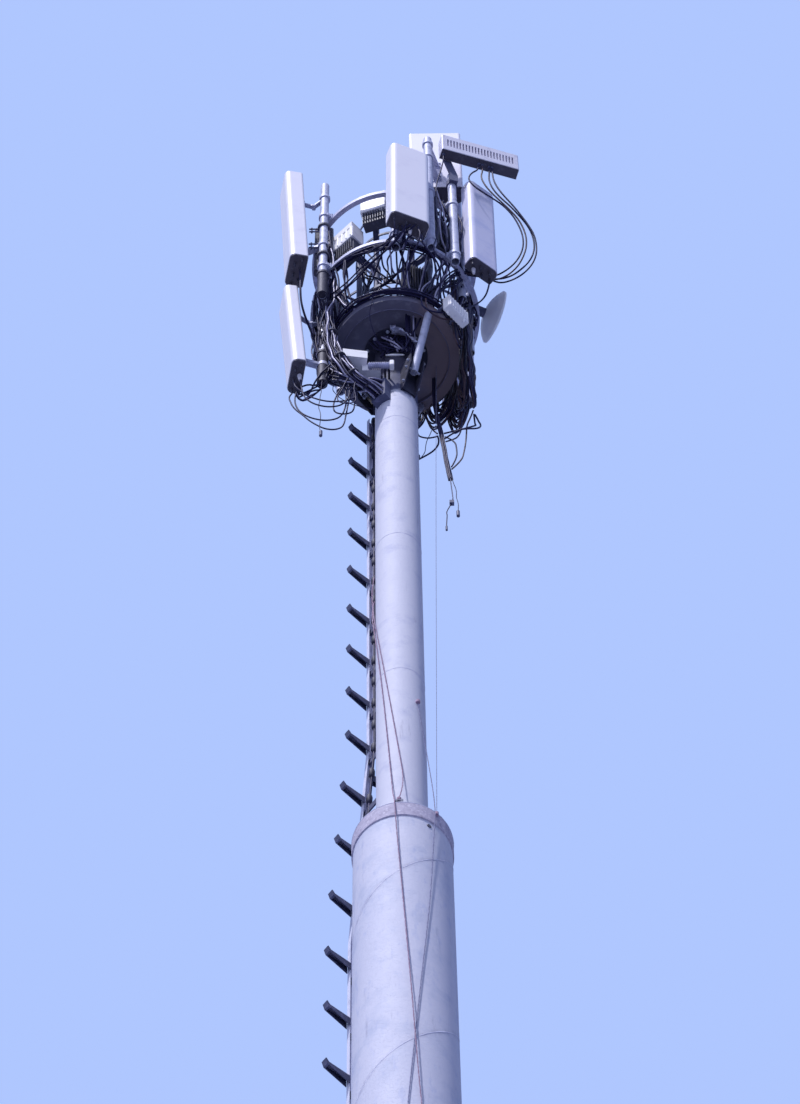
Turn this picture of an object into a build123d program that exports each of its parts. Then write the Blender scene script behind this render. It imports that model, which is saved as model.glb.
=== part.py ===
"""Monopole cell tower: a stepped tubular mast with a caged antenna head.

Units are millimetres. The origin is the centre of the underside of the base flange,
+Z runs up the mast and -Y is the side from which the tower is usually seen.
Azimuths are degrees anticlockwise from +X, seen from above.
"""
import os
from math import atan2, cos, degrees, hypot, pi, radians, sin, tan

from build123d import *

# Lower mast: large pipe in two flanged lengths
LOWER_OD = 610
LOWER_WALL = 10
BASE_FLANGE_OD = 960
BASE_FLANGE_THICK = 40
ANCHOR_PCD = 820
ANCHOR_COUNT = 12
ANCHOR_HOLE_R = 18
GUSSET_HEIGHT = 260
GUSSET_THICK = 14
SPLICE_Z = 11200
SPLICE_FLANGE_OD = 780
SPLICE_FLANGE_THICK = 32
SPLICE_BOLT_PCD = 700
SPLICE_BOLT_COUNT = 16
SPLICE_BOLT_R = 13.5
GUSSET_TOE = 20

# Collar where the mast steps down
COLLAR_Z = 22460
COLLAR_HEIGHT = 150
COLLAR_OD = 626
CAP_THICK = 20

# Upper mast
UPPER_OD = 324
UPPER_WALL = 8
HEAD_Z = 30040
SADDLE_THICK = 16
TALL = 1.3 * HEAD_Z

# Climbing rail and pegs
RAIL_AZ = 128
RAIL_R_LOWER = LOWER_OD / 2 + 205
RAIL_R_UPPER = UPPER_OD / 2 + 163
RAIL_BEND_LOW_Z = COLLAR_Z - 360
RAIL_BEND_HIGH_Z = COLLAR_Z + 1790
RAIL_START_Z = 2400
RAIL_TOP_Z = HEAD_Z - 610
RAIL_WIDTH = 45
RAIL_DEPTH = 28
RAIL_WALL = 4
PEG_TOP_Z = HEAD_Z - 960
PEG_PITCH = 600
PEG_LENGTH = 175
PEG_ROOT_DEPTH = 74
PEG_TIP_DEPTH = 24
PEG_WIDTH = 40
PEG_SHEET = 4
PEG_TIP_RISE = 26
PEG_TIP_LENGTH = 26
PEG_SLOPE_RISE = 8
STANDOFF_HEIGHT = 60
STANDOFF_THICK = 10

# Head tray and what stiffens it
TRAY_R = 498
TRAY_SHEET = 6
TRAY_RIM_HEIGHT = 92
TRAY_BAND = 78
TRAY_RECESS = 40
SADDLE_R = 250
BRACE_AZ = (-55, 65, 185)
BRACE_OD = 60
BRACE_FOOT_R = UPPER_OD / 2 + 76
BRACE_HEAD_R = TRAY_R - 46
BRACKET_TOP_Z = HEAD_Z - 520
BRACKET_HEIGHT = 430
BRACKET_REACH = 150
BRACKET_GAP = 110
BRACKET_SHEET = 8

# Cage
POST_COUNT = 6
POST_OD = 48
POST_R = 285
POST_TOP_Z = HEAD_Z + 2380
CORE_RING_HEIGHT = 40
CORE_RING_THICK = 8
CORE_RING_Z = (HEAD_Z + 800, HEAD_Z + 1860, HEAD_Z + 2340)
HOOP_OUTER_R = 675
HOOP_DEPTH = 38
HOOP_HEIGHT = 50
HOOP_SHEET = 4
HOOP_Z = (HEAD_Z + 800, HEAD_Z + 1860)
SPOKE_FIRST_AZ = 27
SPOKE_HEIGHT = 36
SPOKE_THICK = 10

# Antenna pipes
PIPE_OD = 70
PIPE_WALL = 5
CLAMP_PLATE = 12
CLAMP_WIDTH = 110
CLAMP_HEIGHT = 92
CLAMP_BAND = 10
FIT = 0.3


def polar(radius, azimuth, z=0.0):
    """Return the point at a radius and azimuth about the mast axis."""
    return Vector(radius * cos(radians(azimuth)), radius * sin(radians(azimuth)), z)


def placed(radius, azimuth, z):
    """Return a frame whose x axis points outwards at a radius, azimuth and height."""
    return Location(polar(radius, azimuth, z), (0, 0, azimuth))


def turned(*points):
    """Return the solid of revolution about the mast axis of an outline of (r, z) points."""
    outline = Polyline(*[(r, 0, z) for r, z in points], close=True)
    return revolve(make_face(outline), Axis.Z)


def washer(outer_r, inner_r, z, height):
    """Return a flat ring about the mast axis that stands on z."""
    return turned((inner_r, z), (outer_r, z), (outer_r, z + height), (inner_r, z + height))


def upright(radius, height):
    """Return a round bar that stands on its local origin."""
    return Cylinder(radius, height, align=(Align.CENTER, Align.CENTER, Align.MIN))


def block(length, width, height):
    """Return a block that runs along x from the local origin and is centred in y and z."""
    return Box(length, width, height, align=(Align.MIN, Align.CENTER, Align.CENTER))


def along(start, end):
    """Return a frame at start whose x axis points at end."""
    run = Vector(end) - Vector(start)
    side = Vector(0, 0, 1).cross(run)
    if side.length < 1e-6:
        side = Vector(0, 1, 0)
    return Plane(origin=start, x_dir=run, z_dir=run.cross(side)).location


def bar(start, end, width, height):
    """Return a flat bar between two points."""
    run = Vector(end) - Vector(start)
    return along(start, end) * block(run.length, width, height)


def rod(start, end, radius):
    """Return a round bar between two points."""
    run = Vector(end) - Vector(start)
    return along(start, end) * Rot(0, 90, 0) * upright(radius, run.length)


def save(node, *solids):
    """Write the solids of one named sub-part."""
    pieces = [piece for entry in solids for piece in entry.solids()]
    shape = pieces[0] if len(pieces) == 1 else Compound(children=pieces)
    export_step(shape, f"parts/{node}.step")


# Mast below the collar
def base_flange():
    """Return the round flange that bolts to the foundation."""
    plate = upright(BASE_FLANGE_OD / 2, BASE_FLANGE_THICK)
    hole = upright(ANCHOR_HOLE_R, BASE_FLANGE_THICK)
    for index in range(ANCHOR_COUNT):
        plate -= placed(ANCHOR_PCD / 2, index * 360 / ANCHOR_COUNT, 0) * hole
    return plate


def base_gussets():
    """Return the triangular ribs between the anchor holes."""
    reach = (BASE_FLANGE_OD - LOWER_OD) / 2 - GUSSET_TOE
    step = GUSSET_TOE
    outline = Polyline(
        (0, 0, 0), (reach, 0, 0), (reach, 0, step), (step, 0, GUSSET_HEIGHT), (0, 0, GUSSET_HEIGHT), close=True
    )
    rib = extrude(make_face(outline), GUSSET_THICK / 2, both=True)
    turn = 360 / ANCHOR_COUNT
    return [
        placed(LOWER_OD / 2 + FIT, (index + 0.5) * turn, BASE_FLANGE_THICK) * rib for index in range(ANCHOR_COUNT)
    ]


def mast_length(bottom, top):
    """Return a length of the large pipe."""
    return washer(LOWER_OD / 2, LOWER_OD / 2 - LOWER_WALL, bottom, top - bottom)


def splice_flange(z):
    """Return one ring of the bolted joint between the two lengths of large pipe."""
    ring = washer(SPLICE_FLANGE_OD / 2, LOWER_OD / 2 - LOWER_WALL, z, SPLICE_FLANGE_THICK)
    hole = upright(SPLICE_BOLT_R, SPLICE_FLANGE_THICK)
    for index in range(SPLICE_BOLT_COUNT):
        ring -= placed(SPLICE_BOLT_PCD / 2, index * 360 / SPLICE_BOLT_COUNT, z) * hole
    return ring


def mast_collar():
    """Return the rolled band round the head of the large pipe."""
    return turned(
        (LOWER_OD / 2 - LOWER_WALL, COLLAR_Z),
        (COLLAR_OD / 2 - 6, COLLAR_Z),
        (COLLAR_OD / 2, COLLAR_Z + 6),
        (COLLAR_OD / 2, COLLAR_Z + COLLAR_HEIGHT - 5),
        (COLLAR_OD / 2 - 5, COLLAR_Z + COLLAR_HEIGHT),
        (LOWER_OD / 2 - LOWER_WALL, COLLAR_Z + COLLAR_HEIGHT),
    )


CAP_Z = COLLAR_Z + COLLAR_HEIGHT
SPLICE_TOP_Z = SPLICE_Z + 2 * SPLICE_FLANGE_THICK


def collar_lug():
    """Return a small lifting lug with its eye."""
    size = 56
    plate = Pos(0, 0, size / 2) * Box(12, size, size)
    return plate - Pos(0, 0, size * 0.6) * Rot(0, 90, 0) * Cylinder(14, 20)


# Climbing rail
def rail_r(z):
    """Return the distance of the rail's centre from the mast axis at a height."""
    if z >= RAIL_BEND_HIGH_Z:
        return RAIL_R_UPPER
    if z <= RAIL_BEND_LOW_Z:
        return RAIL_R_LOWER
    share = (RAIL_BEND_HIGH_Z - z) / (RAIL_BEND_HIGH_Z - RAIL_BEND_LOW_Z)
    return RAIL_R_UPPER + share * (RAIL_R_LOWER - RAIL_R_UPPER)


def channel_rail(z_low, z_high):
    """Return a straight stretch of the channel rail, open towards the mast, with level ends."""
    low = polar(rail_r(z_low), RAIL_AZ, z_low)
    length = hypot(rail_r(z_high) - rail_r(z_low), z_high - z_low)
    section = Rectangle(RAIL_DEPTH, RAIL_WIDTH)
    section -= Pos(-RAIL_WALL, 0) * Rectangle(RAIL_DEPTH, RAIL_WIDTH - 2 * RAIL_WALL)
    lean = degrees(atan2(rail_r(z_high) - rail_r(z_low), z_high - z_low))
    over = RAIL_DEPTH
    stretch = Rot(0, lean, 0) * Pos(0, 0, -over) * extrude(section, length + 2 * over)
    ends = Pos(0, 0, (z_high - z_low) / 2) * Box(4 * RAIL_R_LOWER, 4 * RAIL_WIDTH, z_high - z_low)
    return Location(low, (0, 0, RAIL_AZ)) * (stretch & ends)


def peg():
    """Return one pressed peg: an inverted channel, deep at its root, with a turned-up tip."""
    neck = PEG_LENGTH - PEG_TIP_LENGTH
    rise = PEG_SLOPE_RISE
    outline = Polyline(
        (0, 0, 0),
        (neck, 0, rise),
        (PEG_LENGTH - 6, 0, PEG_TIP_RISE + rise),
        (PEG_LENGTH, 0, PEG_TIP_RISE),
        (neck + 12, 0, rise - PEG_TIP_DEPTH),
        (0, 0, -PEG_ROOT_DEPTH),
        close=True,
    )
    hollow = Polyline(
        (-1, 0, -PEG_SHEET),
        (neck, 0, rise - PEG_SHEET),
        (neck, 0, -PEG_ROOT_DEPTH),
        (-1, 0, -PEG_ROOT_DEPTH - 20),
        close=True,
    )
    blank = extrude(make_face(outline), PEG_WIDTH / 2, both=True)
    return blank - extrude(make_face(hollow), PEG_WIDTH / 2 - PEG_SHEET, both=True)


def pegs(z_low, z_high):
    """Return the pegs between two heights, on alternate sides of the rail at half the pitch."""
    shape = peg()
    found = []
    index = 0
    z = PEG_TOP_Z
    while z > RAIL_START_Z + PEG_ROOT_DEPTH:
        if z_low < z <= z_high:
            side = 1 if index % 2 == 0 else -1
            foot = placed(rail_r(z), RAIL_AZ, z) * Pos(0, side * RAIL_WIDTH / 2, 0)
            found.append(foot * Rot(0, 0, side * 90) * shape)
        index += 1
        z = PEG_TOP_Z - index * PEG_PITCH / 2
    return found


def standoffs(z_low, z_high, mast_r):
    """Return the flat bars that hold the rail off the mast."""
    found = []
    index = 0
    z = PEG_TOP_Z - PEG_PITCH / 4
    while z > RAIL_START_Z + STANDOFF_HEIGHT:
        if z_low < z <= z_high:
            gap = rail_r(z) - RAIL_DEPTH / 2 - mast_r
            slope = abs(rail_r(z + STANDOFF_HEIGHT / 2) - rail_r(z - STANDOFF_HEIGHT / 2)) / 2
            web = Pos(RAIL_DEPTH / 2 - RAIL_WALL - FIT - slope, 0, 0) * Box(
                gap + RAIL_DEPTH - RAIL_WALL,
                STANDOFF_THICK,
                STANDOFF_HEIGHT,
                align=(Align.MAX, Align.CENTER, Align.CENTER),
            )
            foot = Pos(-RAIL_DEPTH / 2 - gap, 0, 0) * block(8, 70, STANDOFF_HEIGHT + 20)
            shape = placed(rail_r(z), RAIL_AZ, z) * (web + foot)
            found.append(shape - upright(mast_r + FIT, TALL))
        index += 1
        z = PEG_TOP_Z - PEG_PITCH / 4 - index * PEG_PITCH
    return found


# Head tray
def head_tray():
    """Return the dished tray: a flat band at the rim, a raised floor and a turned-up lip."""
    inner = TRAY_R - TRAY_BAND
    floor = HEAD_Z + TRAY_RECESS
    return turned(
        (0, floor),
        (inner - TRAY_SHEET, floor),
        (inner, HEAD_Z),
        (TRAY_R, HEAD_Z),
        (TRAY_R, HEAD_Z + TRAY_RIM_HEIGHT),
        (TRAY_R - TRAY_SHEET, HEAD_Z + TRAY_RIM_HEIGHT),
        (TRAY_R - TRAY_SHEET, HEAD_Z + TRAY_SHEET),
        (inner + TRAY_SHEET, HEAD_Z + TRAY_SHEET),
        (inner, floor + TRAY_SHEET),
        (0, floor + TRAY_SHEET),
    )


def head_saddle():
    """Return the flange on the mast's end that carries the tray, with its ribs."""
    top = HEAD_Z + TRAY_RECESS
    plate = washer(SADDLE_R, UPPER_OD / 2 - UPPER_WALL, top - SADDLE_THICK, SADDLE_THICK)
    reach = SADDLE_R - UPPER_OD / 2 - 8
    drop = 120
    outline = Polyline((0, 0, 0), (reach, 0, 0), (reach, 0, -14), (14, 0, -drop), (0, 0, -drop), close=True)
    rib = extrude(make_face(outline), 5, both=True)
    for index in range(6):
        plate += placed(UPPER_OD / 2 + FIT, 35 + index * 60, top - SADDLE_THICK) * rib
    return plate


def brace_bracket():
    """Return an open bracket of two tapered cheeks, a back and a top, seen in its own frame."""
    reach = BRACKET_REACH
    foot = 44
    outline = Polyline(
        (0, 0, 0), (reach, 0, 0), (reach, 0, -150), (foot, 0, -BRACKET_HEIGHT), (0, 0, -BRACKET_HEIGHT), close=True
    )
    cheek = extrude(make_face(outline), BRACKET_SHEET / 2, both=True)
    side = (BRACKET_GAP + BRACKET_SHEET) / 2
    shape = Pos(0, side, 0) * cheek + Pos(0, -side, 0) * cheek
    back = Box(
        BRACKET_SHEET,
        BRACKET_GAP + 2 * BRACKET_SHEET,
        BRACKET_HEIGHT,
        align=(Align.MIN, Align.CENTER, Align.MAX),
    )
    return shape + Pos(22, 0, 0) * back


def brace_brackets():
    """Return the brackets that carry the feet of the knee braces."""
    mast = upright(UPPER_OD / 2 + FIT, TALL)
    return [placed(UPPER_OD / 2 - 20, az, BRACKET_TOP_Z) * brace_bracket() - mast for az in BRACE_AZ]


def knee_braces():
    """Return the round struts from the brackets to the rim of the tray."""
    foot_z = BRACKET_TOP_Z - 190
    found = []
    for az in BRACE_AZ:
        foot = polar(BRACE_FOOT_R, az, foot_z)
        head = polar(BRACE_HEAD_R, az, HEAD_Z)
        lean = (head - foot).normalized()
        strut = rod(foot, head + lean * 60, BRACE_OD / 2)
        strut -= rod(foot - lean, head + lean * 70, BRACE_OD / 2 - 5)
        strut -= Pos(0, 0, HEAD_Z) * upright(2 * TRAY_R, 2 * BRACE_OD)
        pin = placed(BRACE_FOOT_R, az, foot_z + 34) * Rot(90, 0, 0) * Cylinder(11, BRACKET_GAP - 2 * FIT)
        found.append(strut + pin)
    return found


# Cage
def core_posts():
    """Return the upright posts of the cage's core."""
    floor = HEAD_Z + TRAY_RECESS + TRAY_SHEET
    post = upright(POST_OD / 2, POST_TOP_Z - floor)
    return [placed(POST_R, index * 360 / POST_COUNT, floor) * post for index in range(POST_COUNT)]


def core_rings():
    """Return the flat rings outside the posts."""
    inner = POST_R + POST_OD / 2
    return [
        washer(inner + CORE_RING_THICK, inner + FIT, z - CORE_RING_HEIGHT / 2, CORE_RING_HEIGHT)
        for z in CORE_RING_Z
    ]


def hoop(z):
    """Return one rolled channel hoop, open towards the mast."""
    half = HOOP_HEIGHT / 2
    inner = HOOP_OUTER_R - HOOP_DEPTH
    skin = HOOP_OUTER_R - HOOP_SHEET
    return turned(
        (inner, z - half),
        (HOOP_OUTER_R, z - half),
        (HOOP_OUTER_R, z + half),
        (inner, z + half),
        (inner, z + half - HOOP_SHEET),
        (skin, z + half - HOOP_SHEET),
        (skin, z - half + HOOP_SHEET),
        (inner, z - half + HOOP_SHEET),
    )


def hoop_spokes():
    """Return the radial bars from the core rings into the hoops."""
    start = POST_R + POST_OD / 2 + CORE_RING_THICK + FIT
    end = HOOP_OUTER_R - HOOP_SHEET - FIT
    spoke = block(end - start, SPOKE_THICK, SPOKE_HEIGHT)
    return [
        placed(start, SPOKE_FIRST_AZ + index * 360 / POST_COUNT, z) * spoke
        for z in HOOP_Z
        for index in range(POST_COUNT)
    ]


# Antenna pipes: name, radius, azimuth, and the heights of the bottom and the top above the tray
PIPE_R = HOOP_OUTER_R + CLAMP_PLATE + PIPE_OD / 2
PIPE_INNER_R = HOOP_OUTER_R - HOOP_DEPTH - CLAMP_PLATE - PIPE_OD / 2
PIPES = {
    "left_upper": (PIPE_R, 218.5, 230, 2560),
    "left_lower": (PIPE_INNER_R, 199, -890, 1110),
    "front": (PIPE_R, 271, 520, 2310),
    "front_right": (PIPE_R, 294, 660, 3060),
    "arm": (PIPE_R, 312, 660, 2520),
    "right": (PIPE_INNER_R, 334, 560, 2660),
    "dish": (PIPE_INNER_R, 5, 210, 2010),
    "rear": (PIPE_R, 55, 560, 2310),
    "rear_left": (PIPE_R, 128, 660, 2310),
}


def antenna_pipe(name):
    """Return one upright antenna pipe, open at both ends."""
    radius, azimuth, bottom, top = PIPES[name]
    tube = upright(PIPE_OD / 2, top - bottom) - upright(PIPE_OD / 2 - PIPE_WALL, top - bottom)
    return placed(radius, azimuth, HEAD_Z + bottom) * tube


def pipe_axis(name, z):
    """Return the point of a pipe's axis at a height."""
    radius, azimuth, _, _ = PIPES[name]
    return polar(radius, azimuth, z)


def band():
    """Return the clamp band round a pipe, before its bore is cut."""
    return Cylinder(PIPE_OD / 2 + CLAMP_BAND, CLAMP_HEIGHT / 2)


def hoop_clamp(name, z):
    """Return the plate, jaws and band that hold a pipe to a hoop."""
    radius, azimuth, _, _ = PIPES[name]
    side = 1 if radius > HOOP_OUTER_R else -1
    plate = Pos(-side * (PIPE_OD / 2 + CLAMP_PLATE / 2 + 2), 0, 0) * Box(
        CLAMP_PLATE + 4, CLAMP_WIDTH, CLAMP_HEIGHT
    )
    jaw = Pos(-side * PIPE_OD / 4, 0, 0) * Box(PIPE_OD / 2, CLAMP_WIDTH - 8, CLAMP_HEIGHT / 2)
    shape = placed(radius, azimuth, z) * (plate + jaw + band() - Cylinder(PIPE_OD / 2 + FIT, 2 * CLAMP_HEIGHT))
    low = z - CLAMP_HEIGHT
    if side > 0:
        return shape - washer(HOOP_OUTER_R + FIT, HOOP_OUTER_R - 60, low, 2 * CLAMP_HEIGHT)
    return shape - washer(HOOP_OUTER_R, HOOP_OUTER_R - HOOP_DEPTH - FIT, low, 2 * CLAMP_HEIGHT)


def tray_arm(name, z):
    """Return the arm from the tray's rim to the clamp band of a pipe."""
    radius, azimuth, _, _ = PIPES[name]
    reach = radius - TRAY_R - FIT
    arm = Pos(-reach, 0, 0) * block(reach, 46, 46)
    foot = Pos(-reach, 0, 0) * block(8, 120, 70)
    shape = arm + foot + band() - Cylinder(PIPE_OD / 2 + FIT, 2 * CLAMP_HEIGHT)
    return placed(radius, azimuth, z) * shape - washer(TRAY_R + FIT, TRAY_R - 60, z - 60, 120)


def pipe_clamps():
    """Return every clamp between the pipes and the hoops, and the arms to the tray."""
    found = []
    for name, (_, _, bottom, top) in PIPES.items():
        found += [hoop_clamp(name, z) for z in HOOP_Z if bottom < z - HEAD_Z < top]
    found.append(tray_arm("left_lower", HEAD_Z + TRAY_RIM_HEIGHT / 2))
    return found


# Panels: pipe, offsets of the back's middle outwards and sideways from the pipe, foot above the tray,
# facing azimuth, lean, width, depth, length
PANELS = {
    "panel_left_upper": ("left_upper", 123.8, -81.0, 824, 192, 2.4, 285, 150, 1810),
    "panel_left_lower": ("left_lower", 145.9, 16.4, -870, 191, 3.6, 290, 110, 1440),
    "panel_front": ("front", 85.6, 43.5, 660, 292, 0.8, 330, 150, 1480),
    "panel_rear": ("front_right", 191.6, -66.3, 2460, 90, 0, 440, 150, 1290),
    "panel_right_upper": ("right", 162.2, 25.5, 750, 307.4, 0.6, 268, 128, 1650),
    "panel_right_lower": ("rear", 121.0, 16.5, 700, 55, 1.5, 270, 120, 1310),
}
FRONT_CORNER = 46
BACK_CORNER = 20
CAP_DEPTH = 14
CAP_MARGIN = 5
CROWN_CHAMFER = 12
BOSS_COUNT = 6
BOSS_R = 13
BOSS_LENGTH = 16
BOSS_SPREAD = 0.76
BOSS_STAGGER = 0.17


def panel_section(width, depth, inset=0.0):
    """Return the cross-section of a panel, its back on the y axis and its front outwards."""
    shape = Pos(depth / 2, 0) * Rectangle(depth - 2 * inset, width - 2 * inset)
    shape = fillet(shape.vertices().group_by(Axis.X)[-1], FRONT_CORNER - inset)
    return fillet(shape.vertices().group_by(Axis.X)[0], BACK_CORNER - inset)


def panel_frame(name):
    """Return the frame of a panel: its origin at the foot of its back, x outwards."""
    pipe, out, side, foot, azimuth, lean = PANELS[name][:6]
    return Location(pipe_axis(pipe, HEAD_Z + foot), (0, 0, azimuth)) * Pos(out, side, 0) * Rot(0, lean, 0)


def radome(name):
    """Return the moulded cover of a panel."""
    width, depth, length = PANELS[name][6:]
    shape = Pos(0, 0, CAP_DEPTH) * extrude(panel_section(width, depth), length - CAP_DEPTH)
    crown = shape.faces().sort_by(Axis.Z)[-1].edges()
    return panel_frame(name) * chamfer(crown, CROWN_CHAMFER)


def end_cap(name):
    """Return the dark cap at the foot of a panel, with its staggered row of connector bosses."""
    width, depth, _ = PANELS[name][6:]
    shape = extrude(panel_section(width, depth, CAP_MARGIN), CAP_DEPTH)
    boss = extrude(RegularPolygon(BOSS_R, 6), -BOSS_LENGTH)
    for index in range(BOSS_COUNT):
        row = 1 if index % 2 == 0 else -1
        spread = index / (BOSS_COUNT - 1) - 0.5
        shape += Pos(depth * (0.5 + BOSS_STAGGER * row), width * BOSS_SPREAD * spread, 0) * boss
    return panel_frame(name) * shape


def panel_bracket(name, height, knee):
    """Return the link between a pipe and the back of a panel, with a knee where it scissors."""
    pipe = PANELS[name][0]
    frame = panel_frame(name)
    plate = frame * Pos(-4 - FIT, 0, height) * Box(8, 90, 110)
    lug = (frame * Pos(-18, 0, height)).position
    centre = pipe_axis(pipe, lug.Z)
    shape = plate + frame * Pos(-28, 0, height) * block(22, 50, 50) + Location(centre) * band()
    if knee:
        elbow = (lug + centre) * 0.5 - Vector(0, 0, knee)
        shape += bar(lug, elbow, 34, 16)
        shape += bar(elbow, centre, 34, 16)
        shape += Location(elbow, (90, 0, PANELS[name][4])) * Cylinder(15, 46)
    else:
        shape += bar(lug, centre, 46, 40)
    bore = Location(centre) * Cylinder(PIPE_OD / 2 + FIT, 4 * CLAMP_HEIGHT + 4 * knee)
    return shape - bore


BRACKET_HEIGHTS = {
    "panel_left_upper": ((420, 0), (1450, 120)),
    "panel_left_lower": ((300, 0), (1150, 90)),
    "panel_front": ((420, 0), (1050, 0)),
    "panel_rear": ((180, 0), (480, 0)),
    "panel_right_upper": ((640, 0), (1400, 0)),
    "panel_right_lower": ((260, 0), (1000, 90)),
}


def tilt_brackets():
    """Return the two brackets of every panel."""
    return [
        panel_bracket(name, height, knee) for name, spots in BRACKET_HEIGHTS.items() for height, knee in spots
    ]


# Active antenna unit: a finned box on a leaning arm plate
UNIT_PIPE = "arm"
UNIT_OUT = 76.9
UNIT_SIDE = 208.4
UNIT_Z = HEAD_Z + 2660
UNIT_AZ = 287.3
UNIT_WIDTH = 670
UNIT_HEIGHT = 335
UNIT_DEPTH = 95
UNIT_FIN_COUNT = 22
UNIT_FIN_DEPTH = 26
ARM_WIDTH = 70
ARM_THICK = 12
ARM_SPACER = 8
ARM_TOP_Y = -290
ARM_TOP_Z = 190
ARM_FOOT_Z = -330
ARM_CLAMP_HEIGHT = 90


def unit_frame():
    """Return the frame of the active unit: its origin at the foot of its back, x outwards."""
    return Location(pipe_axis(UNIT_PIPE, UNIT_Z), (0, 0, UNIT_AZ)) * Pos(UNIT_OUT, UNIT_SIDE, 0)


def active_antenna_unit():
    """Return the unit's body with the row of cooling slots in its face."""
    body = Pos(UNIT_DEPTH / 2, 0, UNIT_HEIGHT / 2) * Box(UNIT_DEPTH, UNIT_WIDTH, UNIT_HEIGHT)
    body = chamfer(body.faces().sort_by(Axis.X)[-1].edges(), 8)
    pitch = (UNIT_WIDTH - 80) / UNIT_FIN_COUNT
    slot = Box(2 * UNIT_FIN_DEPTH, pitch * 0.55, UNIT_HEIGHT * 0.46)
    for index in range(UNIT_FIN_COUNT):
        spot = -UNIT_WIDTH / 2 + 40 + (index + 0.5) * pitch
        body -= Pos(UNIT_DEPTH, spot, UNIT_HEIGHT * 0.5) * slot
    return unit_frame() * body


def active_unit_arm():
    """Return the leaning plate that carries the unit, clamped to the arm pipe at its foot."""
    frame = unit_frame()
    pipe_x = -UNIT_OUT
    pipe_y = -UNIT_SIDE
    half = ARM_WIDTH / 2
    sheet = Plane.YZ * make_face(
        Polyline(
            (ARM_TOP_Y - half, ARM_TOP_Z),
            (ARM_TOP_Y + half, ARM_TOP_Z),
            (pipe_y + half, ARM_FOOT_Z + 60),
            (pipe_y + half, ARM_FOOT_Z - 60),
            (pipe_y - half, ARM_FOOT_Z - 60),
            (pipe_y - half, ARM_FOOT_Z + 60),
            close=True,
        )
    )
    plate = Pos(-ARM_SPACER - ARM_THICK, 0, 0) * extrude(sheet, ARM_THICK)
    pad = Pos(-FIT - ARM_SPACER, ARM_TOP_Y, 100) * block(ARM_SPACER, ARM_WIDTH, 120)
    jaw = Pos(pipe_x, pipe_y, ARM_FOOT_Z) * block(-ARM_SPACER - pipe_x, ARM_WIDTH, ARM_CLAMP_HEIGHT)
    bore = Pos(pipe_x, pipe_y, ARM_FOOT_Z) * Cylinder(PIPE_OD / 2 + FIT, 4 * ARM_CLAMP_HEIGHT)
    clamp = Pos(pipe_x, pipe_y, ARM_FOOT_Z) * Cylinder(PIPE_OD / 2 + CLAMP_BAND, ARM_CLAMP_HEIGHT)
    return frame * (plate + pad + jaw + clamp - bore)


# Dish
DISH_R = 222
DISH_HUB_R = 46
DISH_BULGE = 86
DISH_RIM = 14
DISH_CROWN = 34
DISH_AZ = 24
DISH_Z = HEAD_Z + 1150
DISH_OFFSET = 108


def dish_frame():
    """Return the frame of the dish, its origin at the hub and x towards where it faces."""
    centre = pipe_axis("dish", DISH_Z)
    reach = PIPE_OD / 2 + DISH_OFFSET
    return Location(centre, (0, 0, DISH_AZ)) * Pos(reach, 0, 0)


DISH_STEPS = 4


def cap_rise(rim_r, rise, radius):
    """Return how far a shallow spherical cap has risen from its pole at a radius."""
    ball = (rim_r**2 + rise**2) / (2 * rise)
    return ball - (ball**2 - radius**2) ** 0.5


def dish_radome():
    """Return the dish: a spun back shell under a shallow moulded cover."""
    rim_z = DISH_BULGE + DISH_RIM
    crown_z = rim_z + DISH_CROWN
    outline = [(0, cap_rise(DISH_R, DISH_BULGE, DISH_HUB_R))]
    for step in range(DISH_STEPS + 1):
        radius = DISH_HUB_R + (DISH_R - DISH_HUB_R) * step / DISH_STEPS
        outline.append((radius, cap_rise(DISH_R, DISH_BULGE, radius)))
    for step in range(DISH_STEPS):
        radius = DISH_R * (1 - step / DISH_STEPS)
        outline.append((radius, crown_z - cap_rise(DISH_R, DISH_CROWN, radius)))
    outline.append((0, crown_z))
    return dish_frame() * Rot(0, 90, 0) * turned(*outline)


def dish_mount():
    """Return the hub and the clamp that hold the dish on its pipe."""
    centre = pipe_axis("dish", DISH_Z)
    foot = cap_rise(DISH_R, DISH_BULGE, DISH_HUB_R) - FIT
    hub = dish_frame() * Pos(foot, 0, 0) * Rot(0, -90, 0) * upright(40, DISH_OFFSET - 10)
    clamp = Location(centre, (0, 0, DISH_AZ)) * (Box(110, 96, 100) + Pos(40, 0, 0) * block(60, 50, 60))
    return hub + clamp - Location(centre) * Cylinder(PIPE_OD / 2 + FIT, 400)


# Remote radios: distance beyond the post circle, azimuth, foot above the tray, width, depth, height
RADIOS = {
    "front_left": (237, 253, 1580, 190, 110, 440),
    "left": (258, 227, 1100, 200, 120, 420),
    "right": (279, 314, 1130, 200, 110, 560),
    "lower_right": (157, 355, 310, 240, 110, 420),
    "core": (113, 294.5, 440, 200, 104, 480),
    "rear": (238, 83, 1260, 230, 120, 480),
    "rear_left": (221, 150, 1260, 230, 120, 480),
}
RADIO_FIN_COUNT = 9
RADIO_FIN_DEPTH = 22


def radio_frame(name):
    """Return the frame of a radio: its origin at the foot of its middle, x outwards."""
    beyond, azimuth, foot = RADIOS[name][:3]
    return placed(POST_R + beyond, azimuth, HEAD_Z + foot)


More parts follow.
